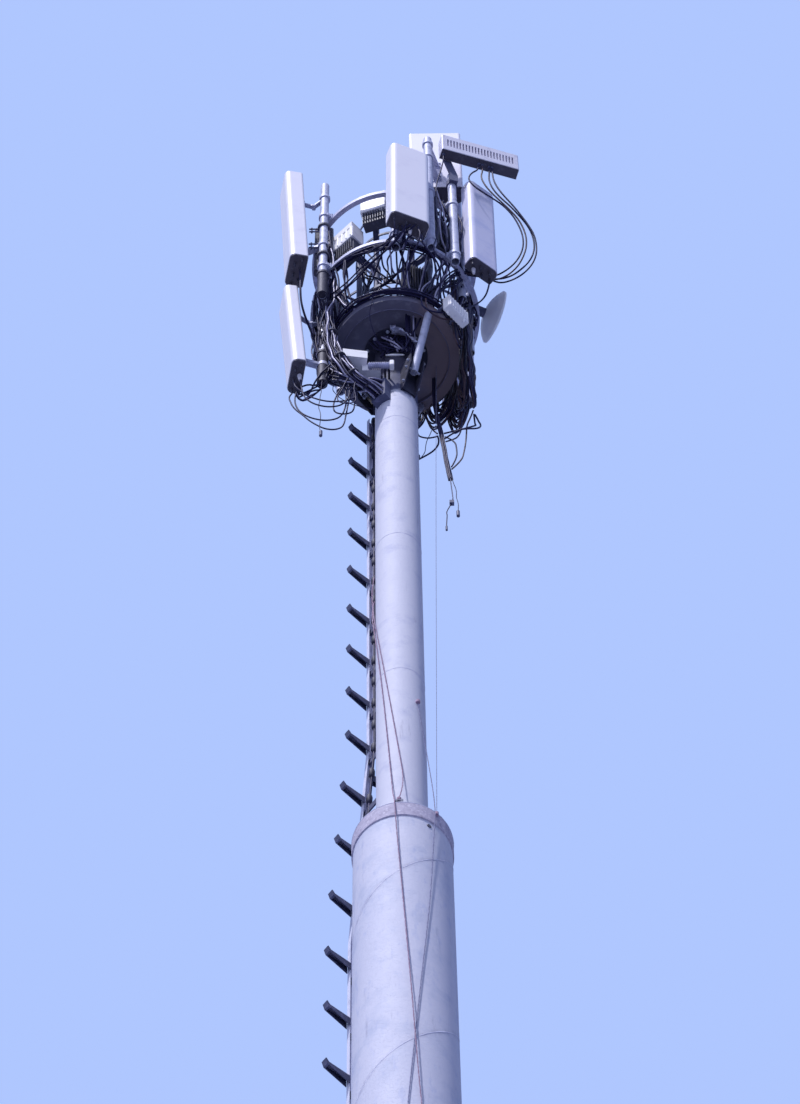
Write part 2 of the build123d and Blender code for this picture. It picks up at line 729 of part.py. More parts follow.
def remote_radio(name):
    """Return a radio's cast body with cooling fins down its outer face."""
    width, depth, height = RADIOS[name][3:]
    body = Pos(-RADIO_FIN_DEPTH / 2, 0, height / 2) * Box(depth - RADIO_FIN_DEPTH, width, height)
    face = (depth - 2 * RADIO_FIN_DEPTH) / 2
    pitch = width / RADIO_FIN_COUNT
    for index in range(RADIO_FIN_COUNT):
        spot = -width / 2 + (index + 0.5) * pitch
        body += Pos(face, spot, height / 2) * block(RADIO_FIN_DEPTH, 6, height - 30)
    return radio_frame(name) * body


def radio_cover(name):
    """Return the pale hood over the upper part of a radio."""
    width, depth, height = RADIOS[name][3:]
    hood = Pos(0, 0, height + 20) * Box(depth + 16, width + 12, 130)
    recess = Pos(0, 0, height - 45) * Box(depth + 2 * FIT, width + 2 * FIT, 90 + 2 * FIT)
    return radio_frame(name) * (hood - recess)


def radio_brackets():
    """Return the arms from the nearest posts to the backs of the radios, each with its post clamp."""
    found = []
    turn = 360 / POST_COUNT
    for name, (beyond, azimuth, foot, width, depth, height) in RADIOS.items():
        level = HEAD_Z + foot + 0.3 * height
        post = polar(POST_R, turn * round(azimuth / turn), level)
        clamp = Location(post) * Cylinder(POST_OD / 2 + CLAMP_BAND, 60)
        arm = bar(post, polar(POST_R + beyond, azimuth, level), 44, 34)
        bore = Location(post) * Cylinder(POST_OD / 2 + FIT, 400)
        body = radio_frame(name) * Pos(0, 0, height / 2) * Box(depth + 2 * FIT, width + 2 * FIT, height)
        found.append((clamp + arm - bore - body).solids().sort_by_distance(post)[0])
    return found


# Boxes under the tray: distance off the mast, azimuth, foot above the tray, turn, length, width, height
JUNCTION_BOXES = (
    (232, 216.1, -645, 8, 190, 150, 130),
    (95, 223.9, -740, 0, 140, 110, 110),
)


STRAP_WIDTH = 50
STRAP_THICK = 16


def junction_boxes():
    """Return the two shallow boxes under the tray."""
    return [
        Location(polar(UPPER_OD / 2 + off, azimuth, HEAD_Z + foot + height / 2), (0, 0, turn))
        * Box(length, width, height)
        for off, azimuth, foot, turn, length, width, height in JUNCTION_BOXES
    ]


def junction_brackets():
    """Return the flat straps that carry the boxes on the mast."""
    found = []
    mast = upright(UPPER_OD / 2 + FIT, TALL)
    for off, azimuth, foot, _, _, _, height in JUNCTION_BOXES:
        level = HEAD_Z + foot + height + STRAP_THICK / 2 + FIT
        strap = placed(UPPER_OD / 2 - 20, azimuth, level) * block(off + 20, STRAP_WIDTH, STRAP_THICK)
        found.append(strap - mast)
    return found


# Cords: straight runs joined by arcs, each arc as large as its two runs allow
ARC_SHARE = 0.45


def cord_tube(node, diameter, points):
    """Return the plain tube of a cord, and print its tightest radius and its length."""
    spots = [Vector(*point) for point in points]
    radii = []
    for before, here, after in zip(spots, spots[1:], spots[2:]):
        run_in = here - before
        run_out = after - here
        half_turn = radians(run_in.get_angle(run_out)) / 2
        radii.append(ARC_SHARE * min(run_in.length, run_out.length) / tan(half_turn))
    path = FilletPolyline(*spots, radius=radii)
    section = Plane(origin=path @ 0, z_dir=path % 0) * Circle(diameter / 2)
    tube = sweep(section, path=path)
    full = pi * (diameter / 2) ** 2 * path.length
    print(f"{node}: radii {min(radii):.0f} to {max(radii):.0f}, length {path.length:.0f}")
    print(f"{node}: volume over section times length {tube.volume / full:.3f}")
    return tube


# Tied bundles that the head holds: radius, first and last azimuth, lowest height above the tray
HARNESS_OD = 44
FEEDER_OD = 46
TAIL_OD = 42
RING_OD = 50
HARNESS_TOP_Z = HOOP_Z[0] + 20
HARNESS_OUTER_R = HOOP_OUTER_R - HOOP_DEPTH - FIT - HARNESS_OD / 2
HARNESS_INNER_R = 556
HARNESS_SAG_R = 607
SPOKE_TOUCH = degrees((SPOKE_THICK + HARNESS_OD) / 2 / HARNESS_INNER_R) + 0.02
CURTAINS = (
    (HARNESS_SAG_R, HARNESS_OUTER_R, -16, 13, -870),
    (HARNESS_INNER_R, HARNESS_INNER_R, -6, SPOKE_FIRST_AZ - SPOKE_TOUCH, -710),
    (HARNESS_SAG_R, HARNESS_OUTER_R, 22, 47, -620),
    (HARNESS_INNER_R, HARNESS_INNER_R, SPOKE_FIRST_AZ + SPOKE_TOUCH, 66, -340),
    (HARNESS_SAG_R, HARNESS_OUTER_R, 66, 92, -140),
    (HARNESS_INNER_R, HARNESS_INNER_R, SPOKE_FIRST_AZ - 60 - SPOKE_TOUCH, -16, -280),
)
FEEDERS = (
    (
        (-601, -119, 30860), (-622, -125, 30300), (-604, -122, 29830), (-516, -116, 29440),
        (-408, -212, 29180), (-290, -238, 29080), (-196, -216, 29060), (-123, -158, 29070),
    ),
    (
        (-500, -375, 30814), (-512, -352, 30260), (-500, -335, 29760), (-430, -310, 29340),
        (-320, -296, 29060), (-215, -262, 28970), (-123, -158, 28990),
    ),
    (
        (-604, 102, 30860), (-610, 60, 30300), (-580, 5, 29830), (-485, -60, 29480),
        (-370, -130, 29275), (-275, -172, 29165), (-196, -190, 29140), (-123, -158, 29150),
    ),
)
TAIL = (
    (302, 196, 30078.5), (296, 170, 29560), (313, 120, 29201), (336, 75, 28757), (363, 60, 28334),
    (389, 50, 27939),
)
HOOP_RUN = (645, HOOP_Z[0] - HOOP_HEIGHT / 2 - RING_OD / 2 - FIT, 224, 300, 8)
RIM_RUN = (TRAY_R + RING_OD / 2 + 3.5, HEAD_Z + 105, 208, 318, 10)


def curtain(radius, top_r, first, last, low):
    """Return the route of one hanging bundle: down, along the sag and up again."""
    middle = (first + last) / 2
    floor = HEAD_Z + low
    return (
        polar(top_r, first, HARNESS_TOP_Z),
        polar(radius, first, floor + 170),
        polar(radius, first + (middle - first) * 0.42, floor + 20),
        polar(radius, last - (last - middle) * 0.42, floor),
        polar(radius, last, floor + 210),
        polar(top_r, last, HARNESS_TOP_Z),
    )


def ring_route(radius, z, first, last, count):
    """Return the route of a bundle that follows a ring."""
    step = (last - first) / (count - 1)
    return [polar(radius, first + index * step, z) for index in range(count)]


def harness_left():
    """Return the feeder bundles from the cage to the port in the mast."""
    return [cord_tube("feeder", FEEDER_OD, route) for route in FEEDERS]


def harness_right():
    """Return the bundles that hang as a curtain behind the mast's right side."""
    return [cord_tube("curtain", HARNESS_OD, [tuple(spot) for spot in curtain(*row)]) for row in CURTAINS]


def harness_rings():
    """Return the bundles tied under the lower hoop and along the rim of the tray."""
    return [cord_tube("ring", RING_OD, [tuple(spot) for spot in ring_route(*row)]) for row in (HOOP_RUN, RIM_RUN)]


# Fittings of the cables
GLAND_ROWS = (-310, -5, 25, 85, 110)
GLAND_LENGTH = 30
PORT_AZ = 232
PORT_Z = HEAD_Z - 970
CLEAT_TURN = 15
CLEAT_Z = HEAD_Z + 1203
BACK_CLEATS = ((38, HEAD_Z - 980), (46, HEAD_Z - 1525))
WEIGHTS = ((-557, -240, 28192), (434, 50, 27409))
TAIL_WIRE_END = (347, 50, 27158)
TAIL_KNOT = (392, 50, 27547)
TAIL_STRAP = ((389, 50, 27938), (402, 50, 27617))
TAIL_KNOT_SIZE = (34, 30, 40)
TAIL_ROD_R = 8
TAIL_ROD_LENGTH = 60
STRAP_TAPE_WIDTH = 25
STRAP_TAPE_THICK = 6
WEIGHT_R = 12.5
WEIGHT_LENGTH = 75
WEIGHT_NECK = 8
PORT_REACH = 70
PORT_SINK = 12
PORT_WIDTH = 130
PORT_HEIGHT = 290
CLEAT_REACH = 41.6
CLEAT_SIDE = 22.8
CLEAT_WIDTH = 40
CLEAT_HEIGHT = 190
BACK_CLEAT_REACH = 62
BACK_CLEAT_WIDTH = 70
BACK_CLEAT_HEIGHT = 40


LOW = (Align.CENTER, Align.CENTER, Align.MIN)


def weight(spot):
    """Return a small hanging weight under a point."""
    neck = Pos(0, 0, -WEIGHT_NECK) * Cone(WEIGHT_R, 4, WEIGHT_NECK, align=LOW)
    return Pos(*spot) * (neck + Pos(0, 0, -WEIGHT_NECK - WEIGHT_LENGTH) * upright(WEIGHT_R, WEIGHT_LENGTH))


def glands():
    """Return the tapered glands under the active unit."""
    gland = Cone(9, 14, GLAND_LENGTH, align=LOW)
    return [unit_frame() * Pos(UNIT_DEPTH / 2, row, -GLAND_LENGTH) * gland for row in GLAND_ROWS]


def cable_port(bundles):
    """Return the port in the mast's wall that the feeder bundles run into."""
    shape = placed(UPPER_OD / 2 - PORT_SINK, PORT_AZ, PORT_Z) * block(PORT_REACH, PORT_WIDTH, PORT_HEIGHT)
    shape -= upright(UPPER_OD / 2 + FIT, TALL)
    for bundle in bundles:
        shape -= bundle
    return shape


def cleats():
    """Return the cleat of the four large loops and the two on the back of the mast."""
    side = Pos(0, CLEAT_SIDE, 0) * block(CLEAT_REACH, CLEAT_WIDTH, CLEAT_HEIGHT)
    found = [
        Location(pipe_axis("right", CLEAT_Z), (0, 0, CLEAT_TURN)) * side
        - Location(pipe_axis("right", CLEAT_Z)) * Cylinder(PIPE_OD / 2 + FIT, 2 * CLEAT_HEIGHT)
    ]
    for azimuth, z in BACK_CLEATS:
        back = placed(UPPER_OD / 2 - PORT_SINK, azimuth, z)
        back *= block(BACK_CLEAT_REACH, BACK_CLEAT_WIDTH, BACK_CLEAT_HEIGHT)
        found.append(back - upright(UPPER_OD / 2 + FIT, TALL))
    return found


def tail_end():
    """Return the strap, the knot and the rod at the end of the taped tail."""
    strap = bar(*TAIL_STRAP, STRAP_TAPE_WIDTH, STRAP_TAPE_THICK)
    knot = Pos(*TAIL_KNOT) * Box(*TAIL_KNOT_SIZE)
    link = bar(TAIL_STRAP[1], TAIL_KNOT, STRAP_TAPE_WIDTH, STRAP_TAPE_THICK)
    tip = Pos(*TAIL_WIRE_END) * Pos(0, 0, -TAIL_ROD_LENGTH) * upright(TAIL_ROD_R, TAIL_ROD_LENGTH)
    return [strap + link + knot, tip]


def cable_fittings(bundles):
    """Return every rigid fitting of the cables."""
    weights = [weight(spot) for spot in WEIGHTS]
    return [*glands(), cable_port(bundles), *cleats(), *weights, *tail_end()]


# Knots of the ropes: end of the rope, the way it points and the knot's radius
KNOT_LENGTH = 34
KNOTS = (
    ((-166, 245, 26830), (0, 0, 1), 15),
    ((-18, -276, 22722), (0, 0, -1), 15),
    ((-166, 245, 26440), (0, 0, 1), 15),
    ((108, -296, 18900), (0, 0, -1), 15),
    ((113, -130, 24200), (0, 0, 1), 15),
    ((-24, -314, 18900), (0, 0, -1), 15),
    ((211, -243, 22600), (0, 0, -1), 12),
)


def rope_knots():
    """Return the knots, each flat where it bears on the mast or the collar."""
    found = []
    for spot, way, radius in KNOTS:
        knot = Pos(*spot) * Pos(0, 0, -KNOT_LENGTH if way[2] < 0 else 0) * upright(radius, KNOT_LENGTH)
        knot = chamfer(knot.edges().filter_by(GeomType.CIRCLE), radius / 3)
        if spot[2] < CAP_Z:
            bearing = COLLAR_OD / 2 if spot[2] > COLLAR_Z else LOWER_OD / 2
        else:
            bearing = UPPER_OD / 2
        found.append(knot - upright(bearing + FIT, TALL))
    return found


# Free cords and ropes: diameter and route
CORDS = {
    "cords_right_loops": (
        # right loop 1
        (14, (
            (824, -560.2, 32670), (825, -560, 32570), (830, -555, 32415), (860, -545, 32265),
            (910, -530, 32120), (975, -505, 31980), (1035, -475, 31840), (1090, -445, 31700),
            (1135, -415, 31555), (1150, -380, 31405), (1140, -350, 31250), (1090, -315, 31110),
            (995, -275, 31000), (865, -220, 31005), (785, -190, 31135), (700, -190, 31265),
            (565, -226, 31300),
        )),
        # right loop 2
        (14, (
            (800.1, -567.6, 32670), (800, -565, 32570), (790, -565, 32415), (815, -545, 32260),
            (875, -520, 32120), (955, -495, 31985), (1025, -460, 31855), (1090, -425, 31720),
            (1125, -395, 31570), (1135, -365, 31420), (1110, -335, 31270), (1045, -305, 31145),
            (930, -255, 31055), (805, -205, 31120), (705, -195, 31230), (565, -226, 31262),
        )),
        # right loop 3
        (14, (
            (742.8, -585.4, 32670), (745, -585, 32570), (725, -585, 32425), (750, -575, 32280),
            (800, -555, 32150), (870, -530, 32025), (945, -500, 31900), (1010, -470, 31775),
            (1050, -440, 31640), (1070, -415, 31495), (1065, -385, 31355), (1035, -360, 31215),
            (980, -320, 31085), (875, -270, 31000), (775, -220, 31075), (695, -205, 31195),
            (565, -226, 31224),
        )),
        # right loop 4
        (14, (
            (714.2, -594.4, 32670), (715, -595, 32570), (645, -615, 32435), (615, -620, 32285),
            (670, -600, 32150), (785, -555, 32060), (890, -515, 31970), (965, -480, 31840),
            (1010, -450, 31700), (1040, -420, 31555), (1045, -390, 31405), (1015, -355, 31260),
            (945, -315, 31135), (825, -260, 31070), (705, -215, 31145), (565, -226, 31186),
        )),
    ),
    "cords_left_loops": (
        # left loop 1
        (12, (
            (-790.2, -141.7, 29149.4), (-785, -140, 29095), (-800, -165, 29005), (-805, -185, 28910),
            (-795, -200, 28820), (-775, -200, 28725), (-740, -200, 28640), (-695, -205, 28555),
            (-650, -200, 28470), (-595, -200, 28390), (-535, -200, 28320), (-465, -200, 28295),
            (-405, -200, 28330), (-385, -200, 28420), (-380, -195, 28515), (-370, -200, 28610),
            (-365, -200, 28700), (-355, -200, 28795), (-350, -195, 28890), (-340, -190, 28985),
            (-297.9, -225.4, 29065.6),
        )),
        # left loop 2
        (12, (
            (-745.2, -177.8, 29151.8), (-740, -175, 29100), (-750, -190, 29005), (-760, -195, 28915),
            (-760, -200, 28820), (-750, -200, 28730), (-725, -200, 28640), (-680, -200, 28560),
            (-610, -200, 28495), (-525, -200, 28460), (-440, -200, 28490), (-400, -200, 28570),
            (-385, -200, 28665), (-375, -200, 28755), (-375, -200, 28850), (-380, -195, 28940),
            (-380, -195, 29035), (-338.1, -222.7, 29091.6),
        )),
        # left loop 3
        (12, (
            (-728.4, -264.4, 29151.8), (-725, -265, 29100), (-715, -265, 29015), (-710, -260, 28930),
            (-700, -260, 28845), (-685, -260, 28760), (-645, -255, 28685), (-590, -255, 28625),
            (-510, -250, 28595), (-430, -245, 28620), (-385, -240, 28690), (-360, -240, 28770),
            (-350, -235, 28855), (-350, -235, 28940), (-355, -230, 29020), (-366.8, -221.1, 29109),
        )),
        # left loop 4
        (12, (
            (-773.4, -228.2, 29149.4), (-770, -230, 29095), (-760, -235, 29015), (-725, -235, 28940),
            (-675, -225, 28870), (-615, -225, 28815), (-545, -225, 28765), (-470, -225, 28745),
            (-385, -225, 28755), (-325, -220, 28805), (-300, -210, 28885), (-300, -200, 28965),
            (-320, -205, 29045), (-355, -196.1, 29125.3),
        )),
        # left loop 5
        (12, (
            (-370, -190.1, 29148.6), (-410, -205, 29050), (-445, -195, 28940), (-470, -185, 28810),
            (-470, -180, 28700), (-450, -180, 28640), (-390, -180, 28615), (-335, -180, 28640),
            (-315, -185, 28700), (-310, -200, 28795), (-320, -225, 28900), (-306.8, -274.3, 29017.5),
        )),
        # left loop 6
        (10, (
            (-352.3, -282, 29084.3), (-385, -270, 28980), (-405, -260, 28880), (-435, -260, 28775),
            (-440, -260, 28700), (-415, -260, 28650), (-360, -255, 28640), (-310, -255, 28665),
            (-300, -255, 28720), (-305, -265, 28800), (-320, -275, 28885), (-299.6, -282.1, 29008.6),
        )),
        # left conduit
        (18, (
            (-746.2, -427.3, 30845.9), (-745, -425, 30765), (-740, -425, 30640), (-740, -405, 30510),
            (-735, -360, 30385), (-715, -320, 30265), (-680, -260, 30155), (-640, -200, 30050),
            (-612.5, -153.8, 29959.9),
        )),
    ),
    "cords_lower_right": (
        # low loop 1
        (12, (
            (147, 114, 29039.5), (150, 105, 28970), (155, 100, 28890), (165, 100, 28815), (200, 95, 28775),
            (255, 95, 28760), (312.5, 89, 28787.9),
        )),
        # low loop 2
        (14, (
            (158, 172, 28552), (235, 140, 28570), (295, 105, 28600), (320, 85, 28680),
            (309.2, 87.6, 28764.9),
        )),
        # low loop 4
        (12, (
            (272.2, 173, 29560.2), (245, 180, 29460), (225, 180, 29345), (240, 170, 29220),
            (265, 160, 29090), (285, 135, 28965), (306.7, 95.9, 28845),
        )),
        # low loop 5
        (14, (
            (358.9, 60.8, 28675), (460, -10, 28685), (540, -5, 28710), (595, 20, 28760), (625, 45, 28835),
            (635, 70, 28915), (635, 90, 28995), (625, 110, 29075), (615, 120, 29160),
            (600, 124.7, 29240.1),
        )),
        # low loop 6
        (14, (
            (354.7, 77.2, 28805.6), (485, 50, 28815), (550, 55, 28865), (585, 80, 28940),
            (600, 110, 29015), (600, 140, 29090), (595, 160, 29170), (591.8, 131.1, 29265.7),
        )),
        # low loop 7
        (12, (
            (364.7, 67.9, 28639.4), (435, 60, 28660), (470, 65, 28750), (485, 75, 28855), (490, 90, 28960),
            (495, 95, 29065), (505, 100, 29170), (529.1, 110.7, 29317),
        )),
        # low loop 8
        (12, (
            (584, 56.6, 29172), (565, 60, 29065), (530, 80, 28955), (525, 75, 28790), (515, 80, 28625),
            (500, 70, 28460), (480, 65, 28295), (402.8, 56.7, 28132),
        )),
        # low loop 10
        (12, (
            (364.2, 74.6, 28741.7), (435, 45, 28600), (445, 40, 28455), (445, 50, 28310),
            (401.1, 52.9, 28163),
        )),
    ),
    "cords_thin_wires": (
        # left wire
        (6, (
            (-449.3, -190.4, 29216.3), (-490, -140, 29185), (-460, -120, 29125), (-420, -105, 29070),
            (-365, -85, 29035), (-305, -60, 29030), (-240, -50, 29030), (-159.3, -31, 29020),
        )),
        # left pendant
        (6, (
            (-557.9, -224.6, 29149.7), (-560, -225, 29070), (-565, -230, 28990), (-560, -235, 28910),
            (-570, -235, 28830), (-570, -240, 28750), (-580, -225, 28670), (-575, -235, 28590),
            (-565, -250, 28510), (-560, -250, 28430), (-565, -230, 28350), (-570, -220, 28270),
            (-557, -240, 28192),
        )),
        # low wire
        (6, (
            (299.3, 100, 29000), (275, 85, 28920), (260, 75, 28840), (250, 65, 28760), (225, 75, 28680),
            (215, 85, 28600), (210, 110, 28530), (180, 130, 28500),
        )),
        # tail wire
        (8, (
            (388, 50, 27528), (370, 50, 27470), (350, 55, 27400), (355, 45, 27335), (350, 50, 27245),
            (347, 50, 27158),
        )),
        # right pendant
        (6, (
            (403, 49, 27939.6), (410, 50, 27870), (425, 55, 27805), (430, 60, 27730), (425, 55, 27650),
            (435, 50, 27570), (440, 45, 27490), (434, 50, 27409),
        )),
        # thin wire
        (6, (
            (-173.3, -494.2, 30119.3), (-170, -485, 30050), (-195, -440, 29995), (-195, -395, 29930),
            (-180, -355, 29865), (-160, -315, 29805), (-130, -265, 29755), (-110, -200, 29720),
            (-82, -146, 29680),
        )),
    ),
    "cords_front": (
        # front jumper 1
        (12, (
            (6.3, -924.9, 30682.6), (5, -925, 30620), (10, -855, 30520), (-65, -775, 30475),
            (-160, -700, 30450), (-250, -630, 30405), (-335, -555, 30355), (-425, -475, 30345),
            (-497.2, -384.8, 30442),
        )),
        # front jumper 2
        (12, (
            (33.7, -858.9, 30683.3), (35, -860, 30620), (25, -815, 30520), (-50, -740, 30485),
            (-140, -675, 30465), (-225, -615, 30420), (-305, -555, 30360), (-380, -490, 30310),
            (-494.6, -376.4, 30352.2),
        )),
        # front jumper 3
        (12, (
            (99.3, -887.4, 30682.6), (100, -885, 30620), (45, -820, 30530), (-40, -745, 30495),
            (-135, -670, 30465), (-225, -600, 30420), (-310, -520, 30375), (-405, -450, 30345),
            (-492.7, -372.1, 30339.3),
        )),
        # front jumper 4
        (12, (
            (126.7, -821.3, 30683.3), (125, -820, 30620), (105, -805, 30525), (75, -725, 30470),
            (45, -635, 30430), (25, -570, 30360), (20, -560, 30270), (12, -527, 30170.5),
        )),
        # front jumper 5
        (14, (
            (192.3, -849.8, 30682.6), (190, -850, 30620), (210, -865, 30510), (190, -825, 30410),
            (145, -740, 30350), (100, -645, 30315), (85, -600, 30245), (55, -524, 30170.5),
        )),
        # front jumper 6
        (14, (
            (219.7, -783.7, 30683.3), (220, -785, 30620), (220, -780, 30515), (280, -725, 30440),
            (345, -650, 30395), (365, -555, 30345), (350, -465, 30285), (334.1, -395.9, 30174.5),
        )),
        # unit lead
        (12, (
            (423, -685, 32670), (420, -680, 32570), (400, -655, 32440), (380, -645, 32315),
            (360, -640, 32185), (350, -650, 32015), (350, -665, 31845), (345, -690, 31675),
            (345, -710, 31505), (345, -715, 31330), (350, -725, 31160), (355, -730, 30990),
            (345, -725, 30830), (330, -720, 30710), (310, -715, 30610), (310, -705, 30520),
            (340, -690, 30450), (400, -665, 30410), (430, -605, 30360), (435, -525, 30310),
            (415, -440, 30275), (393.5, -352, 30174.1),
        )),
    ),
    "cords_inner": (
        # cross 1
        (14, (
            (206, -489, 30112), (205, -485, 30035), (215, -475, 29960), (260, -460, 29910),
            (335, -440, 29910), (395, -420, 29960), (450, -390, 30050), (510, -355, 30155),
            (580, -330, 30265), (650, -310, 30385), (710, -310, 30515), (740, -330, 30640),
            (755, -344, 30774),
        )),
        # cross 2
        (14, (
            (240, -474, 30112), (240, -465, 30030), (250, -450, 29950), (305, -425, 29890),
            (380, -400, 29870), (440, -380, 29915), (500, -345, 29985), (550, -300, 30065),
            (580, -245, 30140), (583, -194.7, 30200),
        )),
        # inner loop
        (14, (
            (-265, -166, 31879.6), (-270, -165, 31780), (-265, -160, 31670), (-270, -155, 31550),
            (-270, -160, 31425), (-250, -165, 31305), (-160, -175, 31225), (-45, -185, 31250),
            (45, -195, 31335), (119.6, -234.6, 31430),
        )),
    ),
    "mast_ropes": (
        # rope 1
        (12, (
            (-166, 245, 26830), (-186, 140, 26420), (-186, 40, 25950), (-166, -66, 25435),
            (-118, -127, 24809), (-62, -160, 24096), (-14, -171, 23496), (20, -172, 23080),
            (-18, -276, 22722),
        )),
        # rope a
        (12, (
            (-166, 245, 26440), (-186, 140, 26050), (-184, 20, 25650), (-160, -78, 25180),
            (-112, -131, 24300), (-62, -161, 23140), (-54, -190, 22900), (-47, -331, 22655),
            (-36, -323, 22300), (-17, -315, 21866), (15, -316, 21100), (40, -325, 20480),
            (54, -328, 20060), (72, -315, 19600), (98, -300, 19100), (108, -296, 18900),
        )),
        # rope b
        (10, (
            (113, -130, 24200), (135, -109, 23922), (168, -70, 23560), (206, -252, 22640),
            (192, -260, 22350), (162, -271, 21632), (134, -285, 21183), (104, -297, 20780),
            (56, -311, 20083), (8, -315, 19380), (-24, -314, 18900),
        )),
        # rope c
        (6, (
            (316, 80, 30080), (287, -4, 28200), (248, -124, 25400), (211, -243, 22600),
        )),
    ),
}


def main():
    """Build every sub-part and write it."""
    os.makedirs("parts", exist_ok=True)
    save("base_flange", base_flange())
    save("base_gussets", *base_gussets())
    save("mast_bottom_length", mast_length(BASE_FLANGE_THICK, SPLICE_Z))
    save("splice_flange_lower", splice_flange(SPLICE_Z))
    save("splice_flange_upper", splice_flange(SPLICE_Z + SPLICE_FLANGE_THICK))
    save("mast_middle_length", mast_length(SPLICE_TOP_Z, COLLAR_Z))
    save("mast_collar", mast_collar())
    save("collar_cap_plate", washer(COLLAR_OD / 2 - 8, UPPER_OD / 2 + FIT, CAP_Z, CAP_THICK))
    lug_r = COLLAR_OD / 2 - 30
    save("collar_lugs", *[placed(lug_r, az, CAP_Z + CAP_THICK) * collar_lug() for az in (266, 86)])
    saddle_bottom = HEAD_Z + TRAY_RECESS - SADDLE_THICK
    save("upper_mast", washer(UPPER_OD / 2, UPPER_OD / 2 - UPPER_WALL, CAP_Z, saddle_bottom - CAP_Z))
    save("climbing_rail_lower", channel_rail(RAIL_START_Z, RAIL_BEND_LOW_Z))
    save("climbing_rail_bend", channel_rail(RAIL_BEND_LOW_Z + FIT, RAIL_BEND_HIGH_Z))
    save("climbing_rail_upper", channel_rail(RAIL_BEND_HIGH_Z + FIT, RAIL_TOP_Z))
    save("climbing_pegs_lower", *pegs(RAIL_START_Z, COLLAR_Z))
    save("climbing_pegs_upper", *pegs(COLLAR_Z, RAIL_TOP_Z))
    save("rail_standoffs_lower", *standoffs(RAIL_START_Z, COLLAR_Z, LOWER_OD / 2))
    save("rail_standoffs_upper", *standoffs(CAP_Z + 60, RAIL_TOP_Z, UPPER_OD / 2))
    save("head_tray", head_tray())
    save("head_saddle", head_saddle())
    save("brace_brackets", *brace_brackets())
    save("knee_braces", *knee_braces())
    save("core_posts", *core_posts())
    save("core_rings", *core_rings())
    save("hoop_lower", hoop(HOOP_Z[0]))
    save("hoop_upper", hoop(HOOP_Z[1]))
    save("hoop_spokes", *hoop_spokes())
    save("antenna_pipes", *[antenna_pipe(name) for name in PIPES])
    save("pipe_clamps", *pipe_clamps())
    for name in PANELS:
        save(name, radome(name))
    save("panel_end_caps", *[end_cap(name) for name in PANELS])
    save("tilt_brackets", *tilt_brackets())
    save("active_antenna_unit", active_antenna_unit())
    save("active_unit_arm", active_unit_arm())
    save("dish_radome", dish_radome())
    save("dish_mount", dish_mount())
    save("remote_radios", *[remote_radio(name) for name in RADIOS])
    save("radio_covers", *[radio_cover(name) for name in ("front_left", "left", "lower_right")])
    save("radio_brackets", *radio_brackets())
    save("junction_boxes", *junction_boxes())
    save("junction_brackets", *junction_brackets())
    feeders = harness_left()
    save("harness_left", *feeders)
    save("harness_right", *harness_right())
    save("harness_rings", *harness_rings())
    save("cable_tail", cord_tube("tail", TAIL_OD, TAIL))
    save("cable_fittings", *cable_fittings(feeders))
    save("rope_knots", *rope_knots())
    for node, cords in CORDS.items():
        save(node, *[cord_tube(node, diameter, points) for diameter, points in cords])


main()
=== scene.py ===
"""Dressed model of a monopole cell tower: finishes, loose cords, tied cable bundles, welds and small fittings.

Sizes are metres. +Z runs up the mast, -Y points at the camera, and azimuths are degrees
anticlockwise from +X, seen from above.
"""

import logging
from dataclasses import dataclass, field
from enum import Enum
from math import cos, radians, sin, tau
from random import Random

import bmesh
import bpy
from mathutils import Matrix, Vector


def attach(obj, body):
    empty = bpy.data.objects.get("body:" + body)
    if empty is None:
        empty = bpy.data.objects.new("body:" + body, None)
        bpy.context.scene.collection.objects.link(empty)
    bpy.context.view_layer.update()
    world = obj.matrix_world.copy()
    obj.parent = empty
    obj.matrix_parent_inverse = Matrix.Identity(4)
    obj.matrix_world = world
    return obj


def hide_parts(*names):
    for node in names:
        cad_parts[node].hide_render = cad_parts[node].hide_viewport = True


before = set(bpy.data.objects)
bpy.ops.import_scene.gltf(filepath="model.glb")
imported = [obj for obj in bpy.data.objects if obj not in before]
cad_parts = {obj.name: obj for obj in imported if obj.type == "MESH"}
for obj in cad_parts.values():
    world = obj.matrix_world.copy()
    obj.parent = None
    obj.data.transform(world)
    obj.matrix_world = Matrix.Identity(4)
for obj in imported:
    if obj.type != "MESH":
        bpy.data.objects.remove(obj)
log = logging.getLogger("cell tower")

Point = tuple[float, float, float]
Colour = tuple[float, float, float]
Line = list[Point]
Outline = list[tuple[float, float]]
Sizes = dict[str, object]
Mesh = bmesh.types.BMesh
Piece = bpy.types.Object
Node = bpy.types.Node
Socket = bpy.types.NodeSocket

UP: Point = (0, 0, 1)
DOWN: Point = (0, 0, -1)
NOISE_ROUGHNESS = 0.6


# Geometry helpers
def polar(radius: float, azimuth: float, z: float = 0.0) -> Vector:
    """Return the point at a radius, azimuth and height about the mast axis."""
    return Vector((radius * cos(radians(azimuth)), radius * sin(radians(azimuth)), z))


def move(spot: Vector | Point) -> Matrix:
    """Return a move from the origin to a point."""
    return Matrix.Translation(spot)


def spin(degrees: float, axis: str) -> Matrix:
    """Return a turn about one axis."""
    return Matrix.Rotation(radians(degrees), 4, axis)


def placed(radius: float, azimuth: float, z: float) -> Matrix:
    """Return a frame at a radius, azimuth and height whose x axis points outwards."""
    return move(polar(radius, azimuth, z)) @ spin(azimuth, "Z")


def add_object(name: str, data: bpy.types.ID) -> Piece:
    """Return a new object that stands at the origin of the scene.

    Args:
        name: The object's name.
        data: Its mesh, curve, lamp or camera.

    Returns:
        The object.
    """
    made = bpy.data.objects.new(name, data)
    bpy.context.scene.collection.objects.link(made)
    return made


